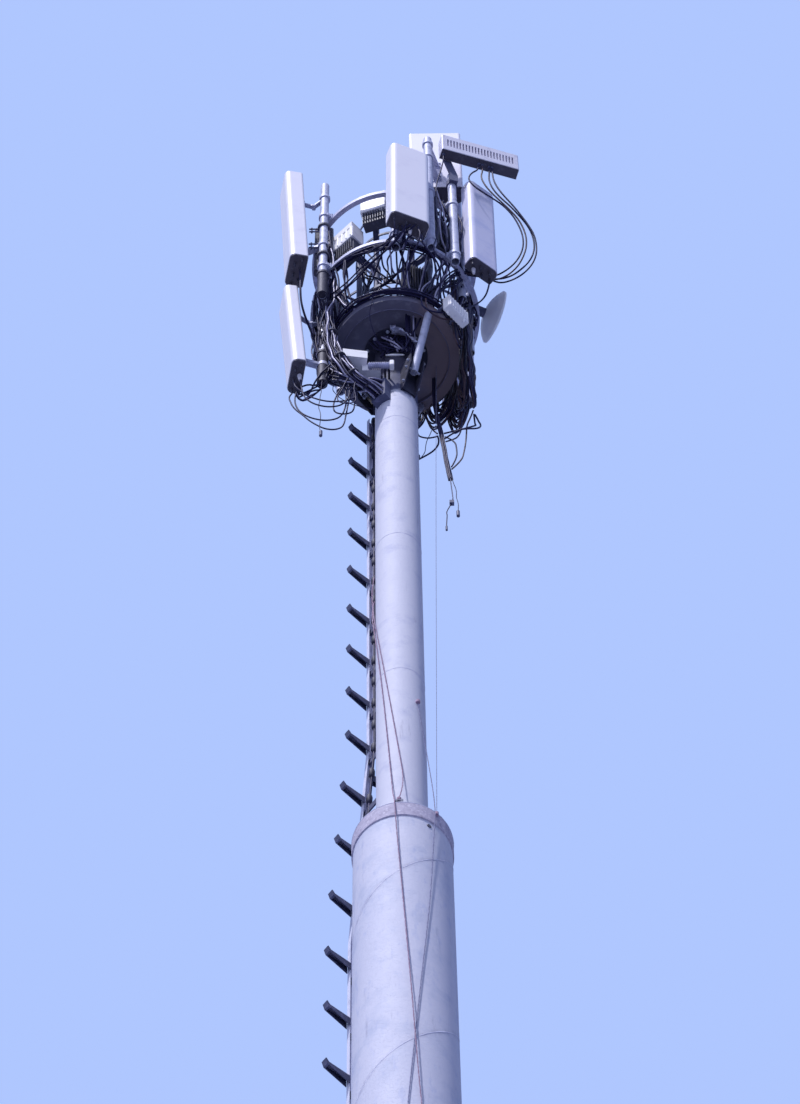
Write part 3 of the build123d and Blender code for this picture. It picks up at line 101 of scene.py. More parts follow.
def lathe(mesh: Mesh, profile: Outline, sides: int, place: Matrix) -> None:
    """Add a turned or prismatic solid to a mesh.

    Args:
        mesh: The mesh that gets the solid.
        profile: Its outline as (radius, height) pairs from the foot to the top.
        sides: The number of sides, six for a hexagon.
        place: The frame that it stands in.
    """
    turns = [tau * i / sides for i in range(sides)]
    rings = [
        [mesh.verts.new(place @ Vector((radius * cos(turn), radius * sin(turn), height))) for turn in turns]
        for radius, height in profile
    ]
    for low, high in zip(rings, rings[1:]):
        for i in range(sides):
            j = (i + 1) % sides
            mesh.faces.new((low[i], low[j], high[j], high[i]))
    mesh.faces.new(list(reversed(rings[0])))
    mesh.faces.new(rings[-1])


def worn_box(size: Point, edge: float, place: Matrix, steps: int = 2, profile: float = 0.0) -> Mesh:
    """Return a new mesh that holds a box with bevelled edges.

    Args:
        size: Its width along x, y and z.
        edge: The width of the bevel.
        place: The frame of its centre.
        steps: How many faces the bevel has.
        profile: The shape of the bevel.

    Returns:
        The mesh.
    """
    mesh = bmesh.new()
    bmesh.ops.create_cube(mesh, size=1)
    bmesh.ops.scale(mesh, vec=size, verts=mesh.verts)
    bmesh.ops.bevel(mesh, geom=mesh.edges[:], offset=edge, segments=steps, affect="EDGES", profile=profile)
    bmesh.ops.transform(mesh, matrix=place, verts=mesh.verts)
    return mesh


def mesh_object(name: str, mesh: Mesh, smooth: bool = False) -> Piece:
    """Return the object of a built mesh, which is freed.

    Args:
        name: The piece's name.
        mesh: The built mesh.
        smooth: Whether the faces are shaded smooth.

    Returns:
        The new object.
    """
    bmesh.ops.recalc_face_normals(mesh, faces=mesh.faces)
    data = bpy.data.meshes.new(name)
    mesh.to_mesh(data)
    mesh.free()
    for face in data.polygons:
        face.use_smooth = smooth
    return add_object(name, data)


def curve(name: str, lines: list[Line], smooth: bool = True, closed: bool = False, steps: int = 8) -> Piece:
    """Return one bare curve object of several lines.

    Args:
        name: The object's name.
        lines: The control points of each line.
        smooth: Whether the lines are splines, and not straight between their points.
        closed: Whether each line runs back to its start.
        steps: How many pieces each smooth stretch is drawn in.

    Returns:
        The curve object.
    """
    data = bpy.data.curves.new(name, "CURVE")
    data.dimensions = "3D"
    data.resolution_u = steps
    for points in lines:
        spline = data.splines.new("NURBS" if smooth else "POLY")
        spline.points.add(len(points) - 1)
        for spot, point in zip(spline.points, points):
            spot.co = (*point, 1.0)
        spline.use_cyclic_u = closed
        if smooth:
            spline.order_u = 3
            spline.use_endpoint_u = True
    return add_object(name, data)


def centreline(line: Piece) -> Line:
    """Return the points along a bare curve.

    Args:
        line: The curve.

    Returns:
        Its points, in order.
    """
    mesh = bpy.data.meshes.new_from_object(line)
    found = [tuple(vertex.co) for vertex in mesh.vertices]
    bpy.data.meshes.remove(mesh)
    return found


# Node trees
class Tree:
    """A node tree while it is being put together."""

    def __init__(self, tree: bpy.types.NodeTree) -> None:
        """Take up the tree."""
        self.tree = tree

    def join(self, source: object, target: Socket) -> None:
        """Link a socket, or set a plain value, on a node's input.

        Args:
            source: The socket or the value.
            target: The input.
        """
        if isinstance(source, Socket):
            self.tree.links.new(source, target)
        else:
            target.default_value = source

    def node(self, kind: str, inputs: dict[str | int, object] | None = None, **settings: object) -> Node:
        """Return a new node.

        Args:
            kind: The node's type.
            inputs: What each input is linked or set to.
            settings: Its other properties.

        Returns:
            The node.
        """
        made = self.tree.nodes.new(kind)
        for key, value in settings.items():
            setattr(made, key, value)
        for key, value in (inputs or {}).items():
            self.join(value, made.inputs[key])
        return made

    def sum_up(self, how: str, first: object, second: object = 0.0) -> Socket:
        """Return the result of one sum on two numbers."""
        return self.node("ShaderNodeMath", {0: first, 1: second}, operation=how).outputs[0]

    def times(self, first: object, second: object) -> Socket:
        """Return the product of two numbers."""
        return self.sum_up("MULTIPLY", first, second)


class Shade(Tree):
    """The node tree of one material."""

    def __init__(self, name: str) -> None:
        """Start a material with its shader and object coordinates.

        Args:
            name: The material's name.
        """
        self.material = bpy.data.materials.new(name)
        self.material.use_nodes = True
        super().__init__(self.material.node_tree)
        self.shader = self.tree.nodes["Principled BSDF"]
        self.coords = self.node("ShaderNodeTexCoord").outputs["Object"]

    def noise(self, size: float, detail: float = 4.0, stretch: Point = (1, 1, 1)) -> Socket:
        """Return soft noise whose blotches are about the given size in metres.

        Args:
            size: The width of a blotch.
            detail: How many finer layers lie on it.
            stretch: Scale of the coordinates along x, y and z; below 1 draws blotches out.

        Returns:
            The noise from 0 to 1.
        """
        spot = self.node("ShaderNodeMapping", {"Vector": self.coords, "Scale": stretch}).outputs["Vector"]
        inputs = {"Vector": spot, "Scale": 1 / size, "Detail": detail, "Roughness": NOISE_ROUGHNESS}
        return self.node("ShaderNodeTexNoise", inputs).outputs["Fac"]

    def cells(self, size: float) -> Socket:
        """Return a tone for each crystal of a spangled surface."""
        crystals = self.node("ShaderNodeTexVoronoi", {"Vector": self.coords, "Scale": 1 / size})
        return self.node("ShaderNodeSeparateColor", {"Color": crystals.outputs["Color"]}).outputs[0]

    def part(self, axis: str) -> Socket:
        """Return one object coordinate."""
        return self.node("ShaderNodeSeparateXYZ", {"Vector": self.coords}).outputs[axis]

    def span(self, value: Socket, low: float, high: float) -> Socket:
        """Return how far a value lies between two levels, eased and clamped from 0 to 1."""
        inputs = {"Value": value, "From Min": low, "From Max": high}
        return self.node("ShaderNodeMapRange", inputs, interpolation_type="SMOOTHSTEP").outputs["Result"]

    def between(self, value: Socket, low: float, high: float) -> Socket:
        """Return a 0 to 1 value moved to lie between two numbers."""
        return self.node("ShaderNodeMapRange", {"Value": value, "To Min": low, "To Max": high}).outputs["Result"]

    def blend(self, share: object, first: object, second: object) -> Socket:
        """Return a mix of two colours."""
        first, second = ((*side, 1.0) if isinstance(side, tuple) else side for side in (first, second))
        return self.node("ShaderNodeMix", {"Factor": share, 6: first, 7: second}, data_type="RGBA").outputs[2]

    def relief(self, height: Socket, depth: float, after: Socket | None = None) -> Socket:
        """Return a normal bumped by a relief from 0 to 1 times a depth in metres, laid on another if given."""
        lower = {} if after is None else {"Normal": after}
        return self.node("ShaderNodeBump", {"Height": height, "Distance": depth, **lower}).outputs["Normal"]


# Finishes
PATCH_EDGES = (0.62, 0.72)
STREAK_EDGES = (0.72, 0.82)
STREAK_WIDTH = 0.05
STREAK_SHARE = 0.8
GLOSS_PATCHES = 0.6
RELIEF_GAIN = 3


@dataclass(frozen=True)
class Finish:
    """One surface finish, with its colour, patches, grime, grain and gloss."""

    name: str
    slot: str
    colour: Colour
    patch: Colour
    grime: Colour
    patch_size: float = 0.12
    patch_share: float = 0.5
    grime_share: float = 0.35
    grime_run: float = 0.12
    metallic: float = 0.0
    gloss: tuple[float, float] = (0.45, 0.65)
    grain_size: float = 0.004
    grain_depth: float = 0.0004
    tint: Colour = (0.86, 0.86, 1.0)
    shine: float = 0.5

    def material(self) -> bpy.types.Material:
        """Return the material, built once."""
        return bpy.data.materials.get(self.name) or self.build()

    def build(self) -> bpy.types.Material:
        """Build the material from its surface, grime and grain.

        Returns:
            The new material.
        """
        shade = Shade(self.name)
        colour, height = self.surface(shade)
        normal = shade.relief(shade.noise(self.grain_size, 3), self.grain_depth)
        if height is not None:
            normal = shade.relief(height, self.grain_depth * RELIEF_GAIN, normal)
        values = {
            "Metallic": self.metallic,
            "Specular Tint": (*self.tint, 1.0),
            "Specular IOR Level": self.shine,
            "Base Color": colour,
            "Roughness": shade.between(shade.noise(self.patch_size * GLOSS_PATCHES, 5), *self.gloss),
            "Normal": normal,
        }
        for label, value in values.items():
            shade.join(value, shade.shader.inputs[label])
        return shade.material

    def surface(self, shade: Shade) -> tuple[Socket, Socket | None]:
        """Return the colour of the finish, and a relief that lies over its grain.

        Args:
            shade: The tree that the colour is built in.

        Returns:
            The colour, and the relief or nothing.
        """
        low, high = PATCH_EDGES
        mottle = shade.span(shade.noise(self.patch_size, 6), low - self.patch_share * 0.3, high)
        colour = shade.blend(mottle, self.colour, self.patch)
        low, high = STREAK_EDGES
        run = shade.noise(STREAK_WIDTH, 6, (1, 1, self.grime_run))
        streak = shade.span(run, low - self.grime_share * 0.35, high)
        return shade.blend(shade.times(streak, STREAK_SHARE), colour, self.grime), None


@dataclass(frozen=True)
class ZincFinish(Finish):
    """Weathered zinc with its faint crystals."""

    spangle_size: float = 0.018
    spangle_share: float = 0.10

    def surface(self, shade: Shade) -> tuple[Socket, Socket | None]:
        """Return the mottled zinc with a tone for each crystal.

        Args:
            shade: The material that is being built.

        Returns:
            Its colour, and the height of its relief if it has one.
        """
        colour, _ = super().surface(shade)
        crystal = shade.cells(self.spangle_size)
        return shade.blend(shade.times(crystal, self.spangle_share), colour, self.patch), crystal


@dataclass(frozen=True)
class SpiralPipeFinish(ZincFinish):
    """Zinc over a pipe that is wound from strip, with a change of tone and a stain at the seam."""

    rise: float = 1.86
    level: float = 0.0
    stain: Colour = (0.38, 0.43, 0.66)
    drift: float = 0.22
    stain_size: float = 0.055
    stain_edges: tuple[float, float] = (0.54, 0.70)
    stain_share: float = 0.38
    seam_edges: tuple[float, float] = (0.472, 0.499)
    seam_share: float = 0.42

    def surface(self, shade: Shade) -> tuple[Socket, Socket | None]:
        """Return the zinc with its stained seam and a tone that drifts across the strip.

        Args:
            shade: The material that is being built.

        Returns:
            Its colour, and the height of its relief if it has one.
        """
        colour, crystal = super().surface(shade)
        turn = shade.sum_up("ARCTAN2", shade.part("Y"), shade.part("X"))
        climb = shade.sum_up("SUBTRACT", shade.part("Z"), shade.times(turn, self.rise / tau))
        place = shade.sum_up("DIVIDE", shade.sum_up("SUBTRACT", climb, self.level), self.rise)
        across = shade.sum_up("FRACT", place)
        colour = shade.blend(shade.times(across, self.drift), colour, self.patch)
        blotch = shade.span(shade.noise(self.stain_size, 7, (1, 1, 0.35)), *self.stain_edges)
        colour = shade.blend(shade.times(blotch, self.stain_share), colour, self.stain)
        edge = shade.sum_up("ABSOLUTE", shade.sum_up("SUBTRACT", across, 0.5))
        seam = shade.span(edge, *self.seam_edges)
        wander = shade.span(shade.noise(0.09, 5), 0.35, 0.7)
        share = shade.times(seam, shade.times(wander, self.seam_share))
        return shade.blend(share, colour, self.grime), crystal


@dataclass(frozen=True)
class CoarseFinish(Finish):
    """A rough coat with pits and lumps in several tones."""

    light: Colour = (0.68, 0.64, 0.78)
    lump: float = 0.02
    lump_edges: tuple[float, float] = (0.52, 0.66)
    pit_edges: tuple[float, float] = (0.58, 0.7)
    pit_share: float = 0.7

    def surface(self, shade: Shade) -> tuple[Socket, Socket | None]:
        """Return the mottled coat and its lumps.

        Args:
            shade: The material that is being built.

        Returns:
            Its colour, and the height of its relief if it has one.
        """
        colour, _ = super().surface(shade)
        lumps = shade.noise(self.lump, 8)
        colour = shade.blend(shade.span(lumps, *self.lump_edges), colour, self.light)
        pits = shade.span(shade.noise(self.lump / 2, 5), *self.pit_edges)
        return shade.blend(shade.times(pits, self.pit_share), colour, self.grime), lumps


@dataclass(frozen=True)
class FibreFinish(Finish):
    """Twisted fibre, lighter where its hairs are worn."""

    hair: float = 0.003
    hair_run: float = 0.3
    hair_edges: tuple[float, float] = (0.5, 0.7)

    def surface(self, shade: Shade) -> tuple[Socket, Socket | None]:
        """Return the fibre with its worn hairs.

        Args:
            shade: The material that is being built.

        Returns:
            Its colour, and the height of its relief if it has one.
        """
        colour, _ = super().surface(shade)
        hairs = shade.noise(self.hair, 4, (1, 1, self.hair_run))
        return shade.blend(shade.span(hairs, *self.hair_edges), colour, self.patch), hairs


@dataclass(frozen=True)
class MastHeadShadeFinish(ZincFinish):
    """Zinc with painted shade under the tray: the tray's painted shadow, then darker painted shade right under it.
    """

    # Painted shadow of the tray on the mast's head, then darker painted shade right under the tray, both with
    # ragged edges.
    tray_shadow: Colour = (0.052, 0.057, 0.125)
    tray_shadow_edges: tuple[float, float] = (29.25, 29.37)
    tray_shadow_share: float = 0.97
    head_shade: Colour = (0.035, 0.032, 0.055)
    head_shade_edges: tuple[float, float] = (29.62, 29.78)
    head_shade_share: float = 0.93
    ragged_size: float = 0.14
    ragged: float = 0.5

    def surface(self, shade: Shade) -> tuple[Socket, Socket | None]:
        """Return the zinc with painted shade at its head.

        Args:
            shade: The material that is being built.

        Returns:
            Its colour, and the height of its relief if it has one.
        """
        colour, crystal = super().surface(shade)
        wander = shade.times(shade.noise(self.ragged_size, 6), self.ragged)
        level = shade.sum_up("ADD", shade.part("Z"), wander)
        # Painted shadow of the tray, above its ragged edge.
        shadow = shade.times(shade.span(level, *self.tray_shadow_edges), self.tray_shadow_share)
        colour = shade.blend(shadow, colour, self.tray_shadow)
        # Darker painted shade right under the tray.
        share = shade.times(shade.span(level, *self.head_shade_edges), self.head_shade_share)
        return shade.blend(share, colour, self.head_shade), crystal


@dataclass(frozen=True)
class RustSideFinish(Finish):
    """A dark coat that has gone brown on one side."""

    rust: Colour = (0.20, 0.145, 0.165)
    rust_edges: tuple[float, float] = (0.28, 0.52)
    rust_share: float = 0.85
    ragged_size: float = 0.2
    ragged: float = 0.4

    def surface(self, shade: Shade) -> tuple[Socket, Socket | None]:
        """Return the coat with its brown side.

        Args:
            shade: The material that is being built.

        Returns:
            Its colour, and the height of its relief if it has one.
        """
        colour, _ = super().surface(shade)
        wander = shade.times(shade.noise(self.ragged_size, 6), self.ragged)
        side = shade.sum_up("ADD", shade.part("X"), wander)
        share = shade.times(shade.span(side, *self.rust_edges), self.rust_share)
        return shade.blend(share, colour, self.rust), None


PIPE_ZINC = SpiralPipeFinish(
    "wound_pipe_zinc", "galvanised", (0.64, 0.64, 0.77), (0.49, 0.52, 0.68), (0.25, 0.25, 0.37), patch_size=0.26,
    grime_share=0.34, grime_run=0.10, gloss=(0.58, 0.8), grain_size=0.012, grain_depth=0.0006, level=22.315,
)
# Zinc of the upper mast, with painted shade at its head under the tray.
MAST_ZINC_AND_SHADE = MastHeadShadeFinish(
    "drawn_pipe_zinc", "galvanised", (0.68, 0.68, 0.80), (0.56, 0.57, 0.73), (0.32, 0.31, 0.43), patch_size=0.22,
    patch_share=0.35, grime_share=0.28, grime_run=0.10, gloss=(0.6, 0.8), grain_size=0.010, grain_depth=0.0005,
    shine=0.25,
)
CAP_ZINC = ZincFinish(
    "cap_zinc", "galvanised", (0.50, 0.50, 0.64), (0.36, 0.37, 0.50), (0.18, 0.17, 0.22), patch_size=0.08,
    gloss=(0.5, 0.7), spangle_share=0.2,
)
FLANGE_ZINC = ZincFinish(
    "flange_zinc", "galvanised", (0.52, 0.54, 0.66), (0.38, 0.41, 0.55), (0.20, 0.19, 0.22), patch_size=0.10,
    metallic=0.25, spangle_share=0.22,
)
TUBE_ZINC = ZincFinish(
    "tube_zinc", "bright_steel", (0.52, 0.53, 0.68), (0.32, 0.34, 0.48), (0.12, 0.11, 0.16), patch_size=0.07,
    grime_share=0.5, grime_run=0.25, metallic=0.12, spangle_size=0.012, spangle_share=0.16,
)
RAIL_ZINC = ZincFinish(
    "rail_zinc", "bright_steel", (0.74, 0.74, 0.90), (0.54, 0.55, 0.72), (0.16, 0.15, 0.22), patch_size=0.09,
    patch_share=0.4, grime_share=0.45, grime_run=0.3, spangle_size=0.012, spangle_share=0.12,
)
HOOP_ZINC = ZincFinish(
    "hoop_zinc", "bright_steel", (0.48, 0.48, 0.66), (0.27, 0.27, 0.40), (0.10, 0.09, 0.15), patch_size=0.07,
    patch_share=0.6, grime_share=0.5, grime_run=0.4, metallic=0.1, spangle_size=0.012, spangle_share=0.2,
)
COLLAR_COAT = CoarseFinish(
    "collar_coat", "collar_steel", (0.50, 0.46, 0.60), (0.37, 0.33, 0.46), (0.16, 0.13, 0.20), patch_size=0.05,
    patch_share=0.6, grime_share=0.5, grime_run=0.6, gloss=(0.65, 0.88), grain_size=0.006, grain_depth=0.0016,
)
DARK_COAT = Finish(
    "dark_coat", "dark_steel", (0.066, 0.070, 0.135), (0.13, 0.13, 0.235), (0.17, 0.13, 0.16), patch_size=0.05,
    patch_share=0.35, grime_run=0.4, gloss=(0.5, 0.75), grain_depth=0.0008,
)
SADDLE_COAT = Finish(
    "saddle_coat", "dark_steel", (0.026, 0.025, 0.046), (0.060, 0.056, 0.095), (0.13, 0.11, 0.15),
    patch_size=0.05, patch_share=0.4, grime_run=0.4, gloss=(0.6, 0.8), shine=0.2, grain_depth=0.0008,
)
TRAY_COAT = RustSideFinish(
    "tray_coat", "dark_steel", (0.092, 0.086, 0.135), (0.14, 0.13, 0.19), (0.17, 0.125, 0.15), patch_size=0.09,
    patch_share=0.4, grime_run=0.5, gloss=(0.45, 0.7), grain_size=0.006, grain_depth=0.001,
)
RADOME = Finish(
    "radome_white", "radome", (0.90, 0.87, 0.96), (0.82, 0.79, 0.90), (0.58, 0.55, 0.66), patch_size=0.25,
    patch_share=0.35, grime_share=0.22, grime_run=0.06, gloss=(0.38, 0.5), grain_size=0.003, grain_depth=0.0001,
)
# Darker, bluer copy of the radome white: painted shade on the panels at the shaded right.
RADOME_SHADED = Finish(
    "radome_grey_blue", "radome_shaded", (0.68, 0.67, 0.86), (0.56, 0.57, 0.80), (0.36, 0.36, 0.52),
    patch_size=0.22, patch_share=0.4, grime_share=0.3, grime_run=0.06, gloss=(0.4, 0.55), grain_size=0.003,
    grain_depth=0.0001,
)
CAP_PLASTIC = Finish(
    "cap_plastic", "end_cap", (0.055, 0.045, 0.065), (0.10, 0.09, 0.12), (0.18, 0.16, 0.19), patch_size=0.04,
    patch_share=0.3, grime_share=0.3, grime_run=0.5, grain_size=0.002, grain_depth=0.0003,
)
UNIT_PAINT = Finish(
    "unit_paint", "unit_alloy", (0.66, 0.64, 0.76), (0.50, 0.49, 0.62), (0.22, 0.19, 0.26), patch_size=0.08,
    patch_share=0.4, grime_share=0.45, grime_run=0.15, gloss=(0.42, 0.6), grain_size=0.003, grain_depth=0.0003,
)
DISH_WHITE = Finish(
    "dish_white", "dish", (0.97, 0.97, 1.0), (0.91, 0.92, 0.99), (0.66, 0.66, 0.78), patch_size=0.10,
    patch_share=0.3, grime_share=0.2, gloss=(0.35, 0.5), grain_size=0.003, grain_depth=0.0001,
)
RADIO_CAST = Finish(
    "radio_casting", "radio_alloy", (0.055, 0.052, 0.080), (0.11, 0.11, 0.16), (0.16, 0.13, 0.15),
    patch_size=0.05, patch_share=0.35, grime_run=0.25, gloss=(0.5, 0.7), grain_size=0.002,
)
CREAM_COVER = Finish(
    "cream_cover", "cream", (0.88, 0.86, 0.90), (0.74, 0.71, 0.78), (0.30, 0.26, 0.31), patch_size=0.07,
    patch_share=0.3, grime_share=0.36, grime_run=0.15, grain_size=0.003, grain_depth=0.0002,
)
CABLE_JACKET = Finish(
    "cable_jacket", "cable", (0.018, 0.016, 0.046), (0.040, 0.036, 0.090), (0.080, 0.072, 0.150), patch_size=0.06,
    patch_share=0.3, grime_share=0.3, grime_run=0.5, gloss=(0.45, 0.6), grain_size=0.002, grain_depth=0.0001,
    tint=(0.50, 0.46, 1.0), shine=0.16,
)
BROWN_JACKET = Finish(
    "brown_jacket", "cable", (0.052, 0.034, 0.044), (0.125, 0.078, 0.082), (0.19, 0.14, 0.16), patch_size=0.10,
    patch_share=0.55, grime_share=0.4, grime_run=0.5, grain_size=0.002, grain_depth=0.0001,
    tint=(0.70, 0.60, 0.90), shine=0.2,
)
# Pale leads among the dark cables: painted highlights that stand in for the glints on dark jackets.
HIGHLIGHT_JACKET = Finish(
    "pale_jacket", "cable", (0.40, 0.38, 0.54), (0.17, 0.16, 0.26), (0.06, 0.05, 0.09), patch_size=0.09,
    patch_share=0.6, grime_share=0.5, grime_run=0.5, gloss=(0.35, 0.5), grain_size=0.002, grain_depth=0.0001,
    tint=(0.70, 0.66, 1.0),
)
RED_FIBRE = FibreFinish(
    "red_fibre", "rope", (0.33, 0.21, 0.30), (0.48, 0.37, 0.50), (0.18, 0.12, 0.19), patch_size=0.05,
    gloss=(0.75, 0.95), grain_size=0.002, grain_depth=0.0006,
)
GREY_FIBRE = FibreFinish(
    "grey_fibre", "rope", (0.20, 0.20, 0.34), (0.34, 0.35, 0.52), (0.10, 0.10, 0.16), patch_size=0.05,
    gloss=(0.75, 0.95), grain_size=0.002, grain_depth=0.0006,
)
BOLT_ZINC = ZincFinish(
    "bolt_zinc", "bright_steel", (0.44, 0.45, 0.56), (0.28, 0.28, 0.36), (0.20, 0.14, 0.12), patch_size=0.02,
    grime_share=0.5, grime_run=0.6, metallic=0.4, gloss=(0.4, 0.6), spangle_size=0.006,
)
WELD_STEEL = ZincFinish(
    "weld_steel", "galvanised", (0.70, 0.70, 0.88), (0.46, 0.47, 0.66), (0.20, 0.20, 0.30), patch_size=0.05,
    grime_share=0.3, grime_run=0.4, spangle_size=0.006, grain_depth=0.001,
)
GIRTH_STEEL = ZincFinish(
    "girth_steel", "galvanised", (0.60, 0.59, 0.78), (0.46, 0.46, 0.66), (0.24, 0.23, 0.34), patch_size=0.05,
    patch_share=0.6, grime_share=0.4, grime_run=0.4, gloss=(0.6, 0.8), spangle_size=0.006,
)
# Lighter than the tray's coat: a painted highlight along the tray's inner step.
STEP_HIGHLIGHT = Finish(
    "edge_coat", "dark_steel", (0.17, 0.16, 0.27), (0.10, 0.09, 0.15), (0.06, 0.05, 0.08), patch_share=0.7,
    grime_share=0.4, grime_run=0.8, gloss=(0.5, 0.7),
)
BOOT_RUBBER = Finish(
    "boot_rubber", "cable", (0.72, 0.70, 0.80), (0.52, 0.50, 0.60), (0.20, 0.18, 0.20), patch_size=0.02,
    patch_share=0.4, grime_share=0.4, grime_run=0.3, gloss=(0.4, 0.6), grain_size=0.002,
)
DARK_BOOT = Finish(
    "dark_boot", "cable", (0.04, 0.037, 0.055), (0.09, 0.085, 0.11), (0.16, 0.13, 0.14), patch_size=0.02,
    patch_share=0.4, grime_share=0.3, grime_run=0.3, gloss=(0.5, 0.7), grain_size=0.002, tint=(0.6, 0.6, 1.0),
    shine=0.25,
)
TORN_SHEET = ZincFinish(
    "torn_sheet", "bright_steel", (0.34, 0.34, 0.48), (0.66, 0.66, 0.84), (0.04, 0.04, 0.07), patch_size=0.04,
    grime_share=0.6, grime_run=0.8, metallic=0.3, gloss=(0.3, 0.5), grain_size=0.006, grain_depth=0.002,
)


def dress(finish: Finish, *nodes: str) -> None:
    """Give the finish to modelled nodes that keep their own shape.

    Args:
        finish: The finish.
        nodes: The names of the nodes.
    """
    for node in nodes:
        for entry in bpy.data.objects[node].material_slots:
            entry.material = finish.material()
        log.info("%s: %s", node, finish.name)


def settle(piece: Piece, finish: Finish, *nodes: str) -> Piece:
    """Give a new piece its finish and body, and hide what it stands for.

    Args:
        piece: The new object.
        finish: What it is made of.
        nodes: The modelled nodes that it replaces, if any.

    Returns:
        The same object.
    """
    piece.data.materials.clear()
    piece.data.materials.append(finish.material())
    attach(piece, "root")
    if nodes:
        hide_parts(*nodes)
    log.info("%s: %s", piece.name, finish.name)
    return piece


# Geometry Nodes
class GrowthTree(Tree):
    """A Geometry Nodes tree with named inputs."""

    def __init__(self, name: str, inputs: dict[str, tuple[str, float | None]]) -> None:
        """Start the tree.

        Args:
            name: The tree's name.
            inputs: The socket kind and the usual value of each named input.
        """
        super().__init__(bpy.data.node_groups.new(name, "GeometryNodeTree"))
        face = self.tree.interface
        face.new_socket("Geometry", in_out="INPUT", socket_type="NodeSocketGeometry")
        self.keys = {}
        for label, (kind, usual) in {**inputs, "Material": ("Material", None)}.items():
            socket = face.new_socket(label, in_out="INPUT", socket_type="NodeSocket" + kind)
            self.keys[label] = socket.identifier
            if usual is not None:
                socket.default_value = usual
        face.new_socket("Geometry", in_out="OUTPUT", socket_type="NodeSocketGeometry")
        self.entry = self.node("NodeGroupInput")
        self.exit = self.node("NodeGroupOutput")

    def size(self, label: str) -> Socket:
        """Return the socket of a named input."""
        return self.entry.outputs[label]

    def vectors(self, how: str, first: object, second: object) -> Socket:
        """Return the result of one sum on two vectors."""
        return self.node("ShaderNodeVectorMath", {0: first, 1: second}, operation=how).outputs[0]

    def scaled(self, vector: Socket, share: object) -> Socket:
        """Return a vector made longer or shorter."""
        return self.node("ShaderNodeVectorMath", {0: vector, "Scale": share}, operation="SCALE").outputs[0]

    def close(self, geometry: Socket) -> None:
        """End the tree in real geometry with its material.

        Args:
            geometry: What the tree has grown.
        """
        real = self.node("GeometryNodeRealizeInstances", {0: geometry}).outputs[0]
        coat = self.node("GeometryNodeSetMaterial", {"Geometry": real, "Material": self.size("Material")})
        self.join(coat.outputs[0], self.exit.inputs[0])

    def grow(self, base: Piece, name: str, sizes: Sizes) -> Piece:
        """Return the plain mesh that the tree makes from an object, which is used up.

        Args:
            base: The line or points that the tree starts from.
            name: The new piece's name.
            sizes: The inputs that differ from their usual values.

        Returns:
            The new mesh object.
        """
        modifier = base.modifiers.new(self.tree.name, "NODES")
        modifier.node_group = self.tree
        for label, value in sizes.items():
            modifier[self.keys[label]] = value
        graph = bpy.context.evaluated_depsgraph_get()
        data = bpy.data.meshes.new_from_object(base.evaluated_get(graph), depsgraph=graph)
        base.modifiers.remove(modifier)
        bpy.data.objects.remove(base)
        data.name = name
        return add_object(name, data)


class StrandTree(GrowthTree):
    """Turns lines into wavering, twisted strands with a round section."""

    golden_turn: float = 2.39996
    drift: Point = (3.7, 5.3, 1.9)

    def __init__(self) -> None:
        """Build the tree."""
        inputs = {
            "Strands": ("Int", 1),
            "Spread": ("Float", 0.0),
            "Thickness": ("Float", 0.007),
            "Sides": ("Int", 8),
            "Twist": ("Float", 0.0),
            "Waviness": ("Float", 0.0),
            "Wave Size": ("Float", 0.4),
            "Step": ("Float", 0.03),
        }
        super().__init__("strands", inputs)
        runs = {"Curve": self.entry.outputs["Geometry"], "Length": self.size("Step")}
        line = self.node("GeometryNodeResampleCurve", runs, mode="LENGTH").outputs[0]
        amount = {"Geometry": line, "Amount": self.size("Strands")}
        copies = self.node("GeometryNodeDuplicateElements", amount, domain="SPLINE")
        offset = self.offset(copies.outputs["Duplicate Index"])
        place = self.node("GeometryNodeSetPosition", {"Geometry": copies.outputs["Geometry"], "Offset": offset})
        section = {"Resolution": self.size("Sides"), "Radius": self.size("Thickness")}
        ring = self.node("GeometryNodeCurvePrimitiveCircle", section, mode="RADIUS").outputs[0]
        skin = {"Curve": place.outputs[0], "Profile Curve": ring, "Fill Caps": True}
        tube = self.node("GeometryNodeCurveToMesh", skin).outputs[0]
        self.close(self.node("GeometryNodeSetShadeSmooth", {"Geometry": tube}).outputs[0])

    def offset(self, number: Socket) -> Socket:
        """Return how far a point of a strand lies from its line.

        Args:
            number: The strand's number.

        Returns:
            The offset vector.
        """
        normal = self.node("GeometryNodeInputNormal").outputs[0]
        tangent = self.node("GeometryNodeInputTangent").outputs[0]
        side = self.vectors("CROSS_PRODUCT", tangent, normal)
        along = self.node("GeometryNodeSplineParameter").outputs["Length"]
        turns = self.times(self.times(along, self.size("Twist")), tau)
        angle = self.sum_up("ADD", self.times(number, self.golden_turn), turns)
        share = self.sum_up("DIVIDE", self.sum_up("ADD", number, 0.5), self.size("Strands"))
        reach = self.times(self.sum_up("SQRT", share), self.size("Spread"))
        out = self.scaled(normal, self.times(self.sum_up("COSINE", angle), reach))
        across = self.scaled(side, self.times(self.sum_up("SINE", angle), reach))
        spot = self.node("GeometryNodeInputPosition").outputs[0]
        drift = {axis: self.times(number, step) for axis, step in enumerate(self.drift)}
        shifted = self.vectors("ADD", spot, self.node("ShaderNodeCombineXYZ", drift).outputs[0])
        scale = self.sum_up("DIVIDE", 1.0, self.size("Wave Size"))
        waves = self.node("ShaderNodeTexNoise", {"Vector": shifted, "Scale": scale, "Detail": 1.0})
        centred = self.vectors("SUBTRACT", waves.outputs["Color"], (0.5, 0.5, 0.5))
        sway = self.scaled(centred, self.times(self.size("Waviness"), 4.0))
        return self.vectors("ADD", self.vectors("ADD", out, across), sway)


